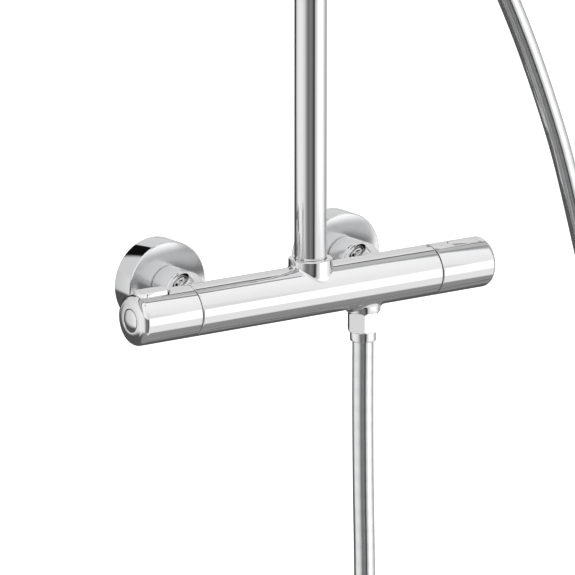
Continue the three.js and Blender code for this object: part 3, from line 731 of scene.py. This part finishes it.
# %% Raised grip
foot, top = pointed(GRIP_SPAN, GRIP_HALF, slack=0.2), pointed(GRIP_SPAN, GRIP_HALF, slack=-0.5)
window = block((139.8, 143.3), (3.8, 6), (17, 19.6))
grip = shaped([prism(foot, BUTTON_FOOT, 20.2, top=top)], [spring_seat(GRIP_SPAN), window], bevel=0.4)
part("flow_stop_grip", grip, "flow_grip", "flow_grip", place=LEFT_END)

# %% [markdown]
# ## Button springs and end caps
# A small steel spring under each button pushes it back out. Its wire is a tube along a helix, worked out
# turn by turn.

# %% Springs and caps
COIL_TURNS, COIL_STEPS, COIL_R, WIRE_R = 3, 24, 1.6, 0.3
COIL_FOOT, COIL_TOP = 9.7, 15.6


def coil(middle):
    """A spring's wire, up out of the well to its seat in the button."""
    line = []
    for i in range(COIL_TURNS * COIL_STEPS + 1):
        angle = 2 * math.pi * i / COIL_STEPS
        height = COIL_FOOT + (COIL_TOP - COIL_FOOT) * i / (COIL_TURNS * COIL_STEPS)
        line.append(Vector((middle + COIL_R * math.cos(angle), COIL_R * math.sin(angle), height)))
    return tube(line, WIRE_R, 8)


for body, kind, span, place in (("temperature", "button", BUTTON_SPAN, RIGHT_END),
                                ("flow", "grip", GRIP_SPAN, LEFT_END)):
    middle = sum(span) / 2
    spring = part(f"{body}_{kind}_coil", coil(middle), body, f"{body}_{kind}_spring",
                  slot="steel", place=place)
    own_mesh(spring)
cap_profile = [(0, 146.5), (7.75, 146.5), (7.75, 149.65), (5, 150.02), (2.5, 150.16), (0, 150.2)]
for body, place in (("temperature", RIGHT_END), ("flow", LEFT_END)):
    part(f"{body}_end_cap", turned(cap_profile, ALONG_X, 0.35), body, f"{body}_cap", place=place)

# %% [markdown]
# ## Index mark
# A short dark line on the fixed body shows where the temperature scale reads. It is engraved and filled on
# the real bar; a thin curved strip a twentieth of a millimetre proud reads the same.

# %% Index mark
strip = shaped([block((98.5, 100.4), (-1.2, 1.2), (17, 19))], [], [rod(BAR_R + 0.05, 90, 101, ALONG_X, 160)])
part("temperature_index_mark", strip, "root", slot="grey_plastic", material=ENAMEL,
     place=BAR_AXIS @ turn(6, "X"))

# %% [markdown]
# ## Wall connection
# Behind each inlet, a smooth round union nut clamps the body to an eccentric union, and a deep round
# escutcheon slides over it against the wall. They are turned pieces, so each is one profile.

# %% Escutcheons, nuts and plugs
PLATE_R, PLATE_FACE = 31.7, 65
plate_profile = [
    (13.5, PLATE_FACE), (PLATE_R - 0.8, PLATE_FACE + 0.8), (PLATE_R, PLATE_FACE + 1.6),
    (PLATE_R, WALL_TO_BAR), (PLATE_R - 2, WALL_TO_BAR), (PLATE_R - 2, PLATE_FACE + 2.8),
    (13.5, PLATE_FACE + 2),
]
nut_profile = [
    (10.5, 45.3), (14.4, 45.3), (15, 45.9), (15, 64.1), (14.4, 64.7), (13.5, 64.7), (13.5, 52.7),
    (10.5, 52.7),
]
for name, side in SIDES:
    inlet = BAR_AXIS @ shift(side * UNION_X, 0, 0) @ ALONG_Y
    part(f"escutcheon_{name}_shell", turned(plate_profile, None, 0.7, 160), "root",
         f"escutcheon_{name}", material=SPUN_CHROME, place=inlet)
    part(f"union_nut_{name}_turned", turned(nut_profile, None, 0.35), "root",
         f"union_nut_{name}", place=inlet)
    stub, socket = rod(5.4, 8.6, PLUG_FACE - 0.6, None, 64, 0.4), prism(polygon(2.8, 6), PLUG_FACE - 3, 18)
    plug = shaped([stub], [socket], bevel=0.2)
    part(f"service_plug_{name}_socket", plug, "root", f"service_plug_{name}",
         place=BAR_AXIS @ plug_place(side))

# %% [markdown]
# ## Riser and wall bracket
# The riser is drawn tube in two lengths with a thin seam between them, plugged into the collar. Near the
# top, a bracket with a round rosette holds it off the wall.

# %% Riser and bracket
RISER_JOINT, RISER_TOP, BRACKET_Z = 560, 1010, 930
for name, low, high in (("lower", 9.3, RISER_JOINT), ("upper", RISER_JOINT + 0.4, RISER_TOP)):
    part(f"riser_{name}_tube", pipe(TUBE_R, 10, low, high, None, 0.25, 128), "root", f"riser_{name}",
         material=TUBE_CHROME)
neck = turned([(0, 0), (8, 0), (8, 66), (9.5, 72), (9.5, 76.7), (0, 76.7)], ALONG_Y, 1.2)
clamp = turned([(0, -14), (16.5, -14), (16.5, 14), (0, 14)], None, 1.2)
bracket = shaped([clamp, neck], [rod(TUBE_R + 0.35, -20, 20)], bevel=0.4)
at_bracket = BAR_AXIS @ shift(0, 0, BRACKET_Z)
part("bracket_arm_casting", bracket, "root", "bracket_arm", place=at_bracket)
rosette = turned([(0, 77), (24, 77), (25, 78), (25, WALL_TO_BAR), (0, WALL_TO_BAR)], ALONG_Y, 0.8, 128)
part("bracket_rosette_disc", rosette, "root", "bracket_rosette", place=at_bracket)

# %% [markdown]
# ## Swivel nut and shower arm
# The arm is the same tube, bent twice on a mandrel: up and over in a wide bend, then down in a tighter one
# to the head. A ring of points is carried along its centreline.

# %% Swivel nut and arm
ARM_REACH, ARM_LEVEL, ARM_BEND, DROP_BEND = 390, 1145, 65, 45
ARM_END = ARM_LEVEL - DROP_BEND - 12
nut = [(TUBE_R + 0.35, 998), (COLLAR_R - 0.6, 998), (COLLAR_R, 998.6), (COLLAR_R, 1021.4),
       (COLLAR_R - 0.6, 1022), (TUBE_R + 0.35, 1022)]
part("arm_swivel_nut_turned", turned(nut, None, 0.4), "root", "arm_swivel_nut")


def bend(centre_y, centre_z, radius, first, last, steps=30):
    return [Vector((0, y, z)) for y, z in arc(centre_y, centre_z, radius, first, last, steps)]


arm_line = [Vector((0, 0, RISER_TOP + 0.3)), *bend(-ARM_BEND, ARM_LEVEL - ARM_BEND, ARM_BEND, 0, 90),
            *bend(DROP_BEND - ARM_REACH, ARM_LEVEL - DROP_BEND, DROP_BEND, 90, 180),
            Vector((0, -ARM_REACH, ARM_END))]
arm = tube(arm_line, TUBE_R, 96)
part("shower_arm_tube", arm, "arm", "shower_arm", material=TUBE_CHROME)

# %% [markdown]
# ## Nozzles
# Rows of soft nozzles stand through the spray plates. They repeat, so Geometry Nodes set them out: ring
# number k holds six times k nozzles, and the tree works out each nozzle's ring and angle from its index.
# The sizes are named inputs, so the rain head and the hand shower share the tree. It ends in real, baked
# geometry.

# %% A tree of pegs on circles
def peg_tree(name, sizes, sums, peg_sides):
    """A tree that stands tapered pegs on circles. A row of sums names a result, an operation, two values."""
    tree = bpy.data.node_groups.new(name, "GeometryNodeTree")
    wanted = (*sizes, ("Reach", "Float"), ("Peg radius", "Float"), ("Peg taper", "Float"),
              ("Peg height", "Float"), ("Finish", "Material"))
    sockets = {label: tree.interface.new_socket(name=label, in_out="INPUT", socket_type=f"NodeSocket{kind}")
               for label, kind in wanted}
    tree.interface.new_socket(name="Geometry", in_out="OUTPUT", socket_type="NodeSocketGeometry")
    given = add(tree, "NodeGroupInput").outputs
    values = {label: given[label] for label in sockets}
    values["index"] = add(tree, "GeometryNodeInputIndex").outputs[0]
    for result, operation, first, second in sums:
        inputs = {0: values.get(first, first), 1: values.get(second, second)}
        values[result] = add(tree, "ShaderNodeMath", inputs, operation=operation).outputs[0]
    points = add(tree, "GeometryNodePoints", {"Count": values["count"]})
    spot = add(tree, "ShaderNodeCombineXYZ", {"X": values["x"], "Y": values["y"]})
    placed = add(tree, "GeometryNodeSetPosition", {
        "Geometry": points.outputs[0], "Position": spot.outputs[0],
    })
    peg = add(tree, "GeometryNodeMeshCone", {
        "Vertices": peg_sides, "Side Segments": 2, "Radius Top": values["tip"],
        "Radius Bottom": given["Peg radius"], "Depth": given["Peg height"],
    })
    spread = add(tree, "GeometryNodeInstanceOnPoints", {
        "Points": placed.outputs[0], "Instance": peg.outputs[0],
    })
    real = add(tree, "GeometryNodeRealizeInstances", {0: spread.outputs[0]})
    dressed = add(tree, "GeometryNodeSetMaterial", {
        "Geometry": real.outputs[0], "Material": given["Finish"],
    })
    add(tree, "NodeGroupOutput", {0: dressed.outputs[0]})
    return tree, sockets


PLACE_SUMS = (
    ("cosine", "COSINE", "angle", 0.0), ("x", "MULTIPLY", "cosine", "out"),
    ("sine", "SINE", "angle", 0.0), ("y", "MULTIPLY", "sine", "out"),
    ("tip", "MULTIPLY", "Peg radius", "Peg taper"),
)
NOZZLE_SUMS = (
    ("next", "ADD", "Rings", 1.0), ("pairs", "MULTIPLY", "next", "Rings"),
    ("count", "MULTIPLY", "pairs", 3.0),
    # Ring k ends at 3k(k + 1) nozzles, so a nozzle's ring is that sum turned round for k.
    ("place", "ADD", "index", 1.0), ("scaled", "MULTIPLY", "place", 4 / 3),
    ("under_root", "ADD", "scaled", 1.0), ("root", "POWER", "under_root", 0.5),
    ("doubled", "SUBTRACT", "root", 1.0001), ("exact", "DIVIDE", "doubled", 2.0),
    ("ring", "CEIL", "exact", 0.0), ("inner", "SUBTRACT", "ring", 1.0),
    ("inner_pairs", "MULTIPLY", "inner", "ring"), ("before", "MULTIPLY", "inner_pairs", 3.0),
    ("nth", "SUBTRACT", "index", "before"), ("share", "DIVIDE", "nth", "ring"),
    ("angle", "MULTIPLY", "share", math.pi / 3), ("out", "MULTIPLY", "ring", "Reach"), *PLACE_SUMS,
)
NOZZLES, NOZZLE_INPUTS = peg_tree("rings_of_nozzles", (("Rings", "Int"),), NOZZLE_SUMS, 14)
print("nozzle tree:", len(NOZZLES.nodes), "nodes")

# %% [markdown]
# ## Baking a tree
# A tree makes its geometry on an empty carrier object. The evaluated result is copied to a plain mesh in
# its place, and the carrier is thrown away, so what is left is ordinary geometry that any program can read.

# %% Baker
def baked(name, tree, sockets, values, place):
    """Runs a tree on an empty carrier, and gives its plain mesh in place, in metres."""
    carrier = bpy.data.objects.new("carrier", bpy.data.meshes.new("carrier"))
    bpy.context.scene.collection.objects.link(carrier)
    layout = carrier.modifiers.new("layout", "NODES")
    layout.node_group = tree
    for label, value in values.items():
        layout[sockets[label].identifier] = value
    evaluated = carrier.evaluated_get(bpy.context.evaluated_depsgraph_get())
    data = bpy.data.meshes.new_from_object(evaluated)
    data.name = name
    data.transform(Matrix.Scale(MM, 4) @ place)
    bpy.data.objects.remove(carrier)
    made = bpy.data.objects.new(name, data)
    bpy.context.scene.collection.objects.link(made)
    return made


# %% [markdown]
# ## Rain head
# The head hangs on a ball joint: a ball on a stud, held by a nut over a plastic liner, so it tilts a little
# each way. The shell is a wide shallow dish, closed by a polished spray plate.

# %% Ball joint and head shell
BALL_R, HEAD_R = 10, 105
at_ball = BAR_AXIS @ shift(0, -ARM_REACH, ARM_END - 26)
stud = turned([(0, -BALL_R), *arc(0, 0, BALL_R, -66, 57, 24), (5.4, 15.5), (12.2, 15.5), (12.2, 25.7),
               (0, 25.7)], None, 0.5)
part("ball_stud_turned", stud, "arm", "ball_stud", place=at_ball)
nut = turned([*arc(0, 0, 11.15, 0, 37, 8), (8.9, 7.4), (14.6, 7.4), (16, 6), (16, -12), (12.3, -12),
              (12.3, -3), (11.15, -3)], None, 0.5)
part("ball_nut_turned", nut, "head", "ball_nut", place=at_ball)
shell_top = [(30, -20.5), (45, -22.9), (60, -24.5), (75, -25.9), (90, -27)]
shell = turned([
    (7, -9), (7.6, -8.9), *arc(0, 0, 11.15, -40, -20, 5), (11.9, -3.8), (11.9, -12.4), (16, -12.8), (17, -17),
    (22, -18.9), *shell_top, (HEAD_R - 1.2, -28), (HEAD_R, -29.2), (HEAD_R, -35), (HEAD_R - 1.4, -36.4),
    (HEAD_R - 3.4, -36.4), (HEAD_R - 3.4, -30.4), (60, -27), (26, -23), (7, -20),
], None, 0.8, 192)
part("head_shell_dish", shell, "head", "head_shell", place=at_ball)

# %% [markdown]
# ## Spray plate
# A polished disc closes the shell. The soft nozzles stand through it in six rings and point down.

# %% Spray plate and its nozzles
plate = turned([(0, -36), (HEAD_R - 4, -36), (HEAD_R - 4, -33), (0, -33)], None, 0.4, 160)
part("head_spray_disc", plate, "head", "head_spray_plate", place=at_ball)
DOWN = turn(180, "X")
rain = baked("head_nozzles", NOZZLES, NOZZLE_INPUTS, {
    "Rings": 6, "Reach": 15.2, "Peg radius": 2.1, "Peg taper": 0.55, "Peg height": 2.6, "Finish": SILICONE,
}, at_ball @ shift(0, 0, -35.8) @ DOWN)
belongs(rain, "head", "rubber")

# %% [markdown]
# ## Slider
# The slider is a short sleeve round the riser with a cross boss. Its knob clamps it, and ribs round the
# knob give wet fingers a hold. Ribs repeat, so a second small tree sets them round a circle.

# %% Slider body and knob
SLIDER_Z = 600
at_slider = BAR_AXIS @ shift(0, 0, SLIDER_Z)
sleeve = turned([(0, -22), (16.5, -22), (16.5, 22), (0, 22)], None, 1.2, 128)
boss = turned([(0, -30), (13, -30), (13, 28), (0, 28)], ALONG_X, 0.8)
bores = [rod(TUBE_R + 0.4, -30, 30), rod(4.4, -40, -9, ALONG_X, 48), rod(4.4, 15, 40, ALONG_X, 48)]
part("slider_body_casting", shaped([sleeve, boss], bores, bevel=0.4), "slider", "slider_body",
     place=at_slider)
knob = turned([
    (0, -48), (11, -48), (12, -46), (12.4, -31.4), (12.4, -30.4), (4.4, -30.4), (4.4, -40), (0, -40),
], ALONG_X, 1.0)
part("slider_knob_moulded", knob, "knob", "slider_knob", place=at_slider)

RIB_SUMS = (
    ("count", "ADD", "Ribs", 0.0), ("share", "DIVIDE", "index", "Ribs"),
    ("angle", "MULTIPLY", "share", 2 * math.pi), ("out", "ADD", "Reach", 0.0), *PLACE_SUMS,
)
RIBS, RIB_INPUTS = peg_tree("ring_of_ribs", (("Ribs", "Int"),), RIB_SUMS, 12)
ribs = baked("slider_knob_ribs", RIBS, RIB_INPUTS, {
    "Ribs": 20, "Reach": 12.0, "Peg radius": 0.95, "Peg taper": 0.7, "Peg height": 14.0, "Finish": CHROME,
}, at_slider @ ALONG_X @ shift(0, 0, -31.6) @ DOWN)
belongs(ribs, "knob", "chrome")

# %% [markdown]
# ## Holder and hand shower
# The holder is a slotted cone on a friction pivot. The hose's conical nut drops into it, and the hand
# shower screws onto the hose. The handle tapers up to a round head whose outer ring turns to change the
# spray.

# %% Holder and cone nut
HOLDER_X, HANDSET_LEAN, FACE_LEAN = 46, 15, 20
at_holder = at_slider @ shift(HOLDER_X, 0, 0) @ turn(HANDSET_LEAN, "X")


def cone_at(height, slack=0.0):
    """The holder's radius at a height, where its cone widens upwards."""
    return 11.75 + 0.0533 * height - slack


cup = turned([(0, -14), (15, -14), (16.2, -12.8), (16.2, 14.8), (15.2, 16), (0, 16)], None, 0.8, 128)
pivot_boss = turned([(0, 28.4 - HOLDER_X), (12.6, 28.4 - HOLDER_X), (12.6, -12), (0, -12)], ALONG_X, 0.8)
pivot = rod(4, 15.4 - HOLDER_X, -14, ALONG_X, 48)
slot_cut = block((-8, 8), (-30, 0), (-20, 20), turn(40, "Z"))
core = turned([(0, -20), (cone_at(-20), -20), (cone_at(20), 20), (0, 20)], None, 0)
part("handset_holder_cup", shaped([cup, pivot_boss, pivot], [core, slot_cut], bevel=0.5), "handset",
     "handset_holder", material=CHROMED_ABS, place=at_holder)
cone_nut = turned([
    (9.3, -20), (cone_at(-20, 0.4), -20), (cone_at(20, 0.4), 20), (9.25, 20), (9.25, -2.5), (6.4, -2.5),
    (6.4, -5), (9.3, -5),
], None, 0.5)
part("hose_cone_nut_turned", cone_nut, "handset", "hose_cone_nut", place=at_holder)
ferrule = turned([
    (4.5, -22), (8.9, -22), (8.9, -5.4), (6, -5.4), (6, -2.1), (8.9, -2.1), (8.9, -1), (4.5, -1),
], None, 0.3)
part("hose_ferrule_upper_turned", ferrule, "handset", "hose_ferrule_upper", place=at_holder)

# %% [markdown]
# ## Hand shower
# The handle is turned, the round head is a second turned shape that leans forward, and one boolean makes
# them a single shell. The selector ring and the white spray face are separate pieces, because the ring
# turns.

# %% Hand shower
to_face = shift(0, -22, 226) @ turn(90 + FACE_LEAN, "X")
face_wards = at_holder @ to_face
grip = turned([
    (0, 2), (8.9, 2), (8.9, 20.3), (12.4, 20.3), (12.1, 50), (11.4, 80), (10.9, 115), (10.4, 150), (9.4, 178),
    (9.4, 192), (5, 201), (0, 203),
], None, 0.8)
back = turned([
    (0, -15), (12, -14.6), (24, -13), (34, -11), (42, -8.5), (47, -6.2), (50, -4), (52, 0), (52, 6), (0, 6),
], to_face, 1.2, 128)
chamber = turned([(0, -12), (22, -10.5), (40, -6.5), (48.6, -1), (48.6, 8), (0, 8)], to_face, 0.5, 128)
part("handset_body_shell", shaped([grip, back], [chamber], bevel=0.6), "handset", "handset_body",
     slot="chromed_plastic", place=at_holder)
ring = turned([(34.5, 2.5), (48.2, 2.5), (48.2, 6.4), (34.5, 6.4)], None, 0.9, 128)
lug = turned([(0, 5), (4.5, 5), (4.5, 9.4), (0, 9.4)], shift(0, 43.4, 0), 1.2, 48)
part("handset_selector_ring", shaped([ring, lug], bevel=0.3), "selector", "handset_selector",
     slot="chromed_plastic", place=face_wards)
face = turned([(0, 2.5), (34.1, 2.5), (34.1, 6.2), (0, 6.2)], None, 0.7, 128)
part("handset_spray_face", face, "handset", "handset_face", slot="white_plastic", place=face_wards)
spray = baked("handset_nozzles", NOZZLES, NOZZLE_INPUTS, {
    "Rings": 4, "Reach": 7.4, "Peg radius": 1.4, "Peg taper": 0.55, "Peg height": 2.0, "Finish": SILICONE,
}, face_wards @ shift(0, 0, 6.0))
belongs(spray, "handset", "rubber")

# %% [markdown]
# ## Lower hose end
# The hose hangs from a hexagonal nut with flats to the wall and to the front. A smooth pressed ferrule
# holds the tube below it. The nut's corners are chamfered by a turned cone, as on every hexagon nut.

# %% Hose nut and ferrule
at_outlet = BAR_AXIS @ shift(OUTLET_X, 0, 0)
hexagon = prism(polygon(11.8, 6), -35.4, -21.4)
rounding = turned([
    (0, -35.6), (10.6, -35.6), (12.2, -34.2), (12.2, -22.6), (10.6, -21.2), (0, -21.2),
], None, 0, 96)
nut_bores = [rod(9.25, -33.4, -20, None, 64), rod(6.4, -36, -33, None, 64)]
nut = shaped([hexagon], nut_bores, [rounding], bevel=0.35)
part("hose_nut_hexagon", nut, "root", "hose_nut_lower", place=at_outlet)
ferrule = turned([
    (4.5, -42.4), (9.2, -42.4), (9.2, -35.7), (6, -35.7), (6, -33.1), (8.9, -33.1), (8.9, -31.9),
    (4.5, -31.9),
], None, 0.5)
part("hose_ferrule_pressed", ferrule, "root", "hose_ferrule_lower", place=at_outlet)

# %% [markdown]
# ## Inner parts
# Cartridges, sleeves, screws and seals stay as the CAD made them: their shapes are right and they hardly
# show. Each takes the finish that its own slot names.

# %% Finishes for the CAD parts
kept = {}
for name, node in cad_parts.items():
    if node.hide_render:
        continue
    slot_name = node.data.materials[0].name.split(".")[0] if node.data.materials else ""
    node.data.materials.clear()
    node.data.materials.append(FINISHES.get(slot_name, BRASS))
    kept[name] = slot_name
print("CAD parts kept:", kept)

# %% [markdown]
# ## Studio
# Chrome shows nothing but its surroundings, so they are designed: a white softbox to the right, a paler
# wall to the left, a dark gap behind the camera, darker strips overhead, a black panel high towards the
# wall, a dimmer foot to the walls and a grey floor. The world holds these as soft bands of direction. The
# camera itself sees plain white instead.

# %% World
def studio_world():
    world = bpy.data.worlds.new("studio")
    world.use_nodes = True
    tree = world.node_tree
    tree.nodes.clear()
    where = add(tree, "ShaderNodeTexCoord").outputs["Generated"]
    axis = add(tree, "ShaderNodeSeparateXYZ", {0: where}).outputs
    # Azimuth in turns, with the main view's own direction at the ramp's middle.
    sideways = add(tree, "ShaderNodeVectorMath", {0: where, 1: (0.8203, -0.5720, 0)}, operation="DOT_PRODUCT")
    backward = add(tree, "ShaderNodeVectorMath", {0: where, 1: (-0.5720, -0.8203, 0)},
                   operation="DOT_PRODUCT")
    angle = add(tree, "ShaderNodeMath", {0: sideways.outputs["Value"], 1: backward.outputs["Value"]},
                operation="ARCTAN2")
    turns = add(tree, "ShaderNodeMapRange", {0: angle.outputs[0], 1: -math.pi, 2: math.pi, 3: 0.0, 4: 1.0})
    walls = add(tree, "ShaderNodeValToRGB", {0: turns.outputs[0]})
    steps_of(walls, [((degrees + 180) / 360, grey) for degrees, grey in WALL_BANDS])
    layers = []
    for along, bands in (("Y", CEILING_BANDS), ("X", BEYOND_BANDS), ("Y", GROUND_BANDS)):
        level = add(tree, "ShaderNodeMapRange", {0: axis[along], 1: -1.0, 2: 1.0, 3: 0.0, 4: 1.0})
        layers.append(add(tree, "ShaderNodeValToRGB", {0: level.outputs[0]}))
        steps_of(layers[-1], [((position + 1) / 2, grey) for position, grey in bands])
    ceiling, beyond, ground = layers
    sloped = add(tree, "ShaderNodeMath", {0: axis["Y"], 1: -0.3, 2: axis["Z"]},
                 operation="MULTIPLY_ADD").outputs[0]
    soft_edges = ((axis["Z"], 0.12, 0.2), (axis["Y"], 0.6, 0.68), (sloped, -0.505, -0.585),
                  (axis["Z"], -0.3, -0.35))
    up, inward, down, low = [
        add(tree, "ShaderNodeMapRange", {0: value, 1: first, 2: last},
            interpolation_type="SMOOTHSTEP").outputs[0]
        for value, first, last in soft_edges
    ]
    behind = add(tree, "ShaderNodeMath", {0: up, 1: inward}, operation="MULTIPLY").outputs[0]
    dim = add(tree, "ShaderNodeRGB")
    dim.outputs[0].default_value = (0.6, 0.6, 0.6, 1)
    # Each layer covers the ones before it. The second only darkens the foot of the walls.
    seen_band = walls.outputs[0]
    for share, layer, blend in ((low, dim, "DARKEN"), (up, ceiling, "MIX"), (behind, beyond, "MIX"),
                                (down, ground, "MIX")):
        cover = add(tree, "ShaderNodeMix", {0: share}, data_type="RGBA", blend_type=blend)
        tree.links.new(seen_band, cover.inputs["A"])
        tree.links.new(layer.outputs[0], cover.inputs["B"])
        seen_band = cover.outputs["Result"]
    seen = add(tree, "ShaderNodeLightPath")
    bands = add(tree, "ShaderNodeBackground", {0: seen_band, 1: 1.6})
    plain = add(tree, "ShaderNodeBackground", {0: (1, 1, 1, 1), 1: 1.0})
    pick = add(tree, "ShaderNodeMixShader", {0: seen.outputs["Is Camera Ray"], 1: bands.outputs[0],
                                             2: plain.outputs[0]})
    add(tree, "ShaderNodeOutputWorld", {0: pick.outputs[0]})
    return world


WALL_BANDS = (
    (-180, 0.42), (-173, 0.02), (-142, 0.03), (-130, 0.06), (-118, 0.44), (-95, 0.64), (-65, 0.63),
    (-45, 0.5), (-36, 0.35), (-29, 0.21), (-20, 0.14), (-12, 0.115), (0, 0.165), (12, 0.115), (22, 0.025),
    (28, 0.06), (34, 0.42), (46, 0.56), (55, 0.9), (89, 0.9), (97, 0.68), (113, 0.58), (124, 0.4),
    (140, 0.26), (165, 0.45), (180, 0.42),
)
CEILING_BANDS = (
    (-1, 0.54), (-0.82, 0.56), (-0.79, 0.63), (-0.5, 0.68), (-0.13, 0.7), (-0.1, 0.2), (-0.04, 0.2),
    (0, 0.36), (0.24, 0.36), (0.27, 0.09), (0.33, 0.09), (0.36, 0.62), (0.5, 0.52), (1, 0.5),
)
BEYOND_BANDS = ((-1, 0.49), (-0.26, 0.49), (-0.17, 0.004), (0.16, 0.004), (0.18, 0.49), (1, 0.49))
GROUND_BANDS = ((-1, 0.5), (-0.56, 0.5), (-0.5, 0.2), (0.25, 0.17), (0.35, 0.07), (1, 0.06))
bpy.context.scene.world = studio_world()
bpy.context.scene.view_settings.view_transform = "Standard"
print("studio bands:", len(WALL_BANDS), "on the walls,", len(CEILING_BANDS), "overhead")

# %% [markdown]
# ## Floor
# A wide pale disc stands for the studio floor. It stays out of the metal's reflections, where the bands do
# that work.

# %% Floor
FLOOR_Z = -0.62
floor_mesh = bmesh.new()
bmesh.ops.create_circle(floor_mesh, cap_ends=True, segments=96, radius=16)
floor_mesh.transform(shift(0, 0, FLOOR_Z))
floor_finish = new_material("pale studio floor", {
    "Base Color": linear("#F4F4F4"), "Roughness": 0.9, "Emission Color": linear("#FFFFFF"),
    "Emission Strength": 0.5,
})[0]
floor = mesh_object("studio_floor", floor_mesh, floor_finish)
floor.visible_glossy = False
print("floor at", FLOOR_Z, "m")

# %% [markdown]
# ## Soft light
# One large round lamp, high and to the right, gives the plastics and the rubber a soft highlight. It too
# stays out of the metal's reflections.

# %% Soft light
key_data = bpy.data.lights.new("soft_key", "AREA")
key_data.shape, key_data.size, key_data.energy = "DISK", 2.5, 60
key = bpy.data.objects.new("soft_key", key_data)
key.location = (2.2, -2.6, 3.2)
key.rotation_euler = (Vector((0, 0, 0.3)) - Vector(key.location)).to_track_quat("-Z", "Y").to_euler()
key.visible_glossy = False
bpy.context.scene.collection.objects.link(key)
print("studio ready:", len(made_pieces), "pieces")
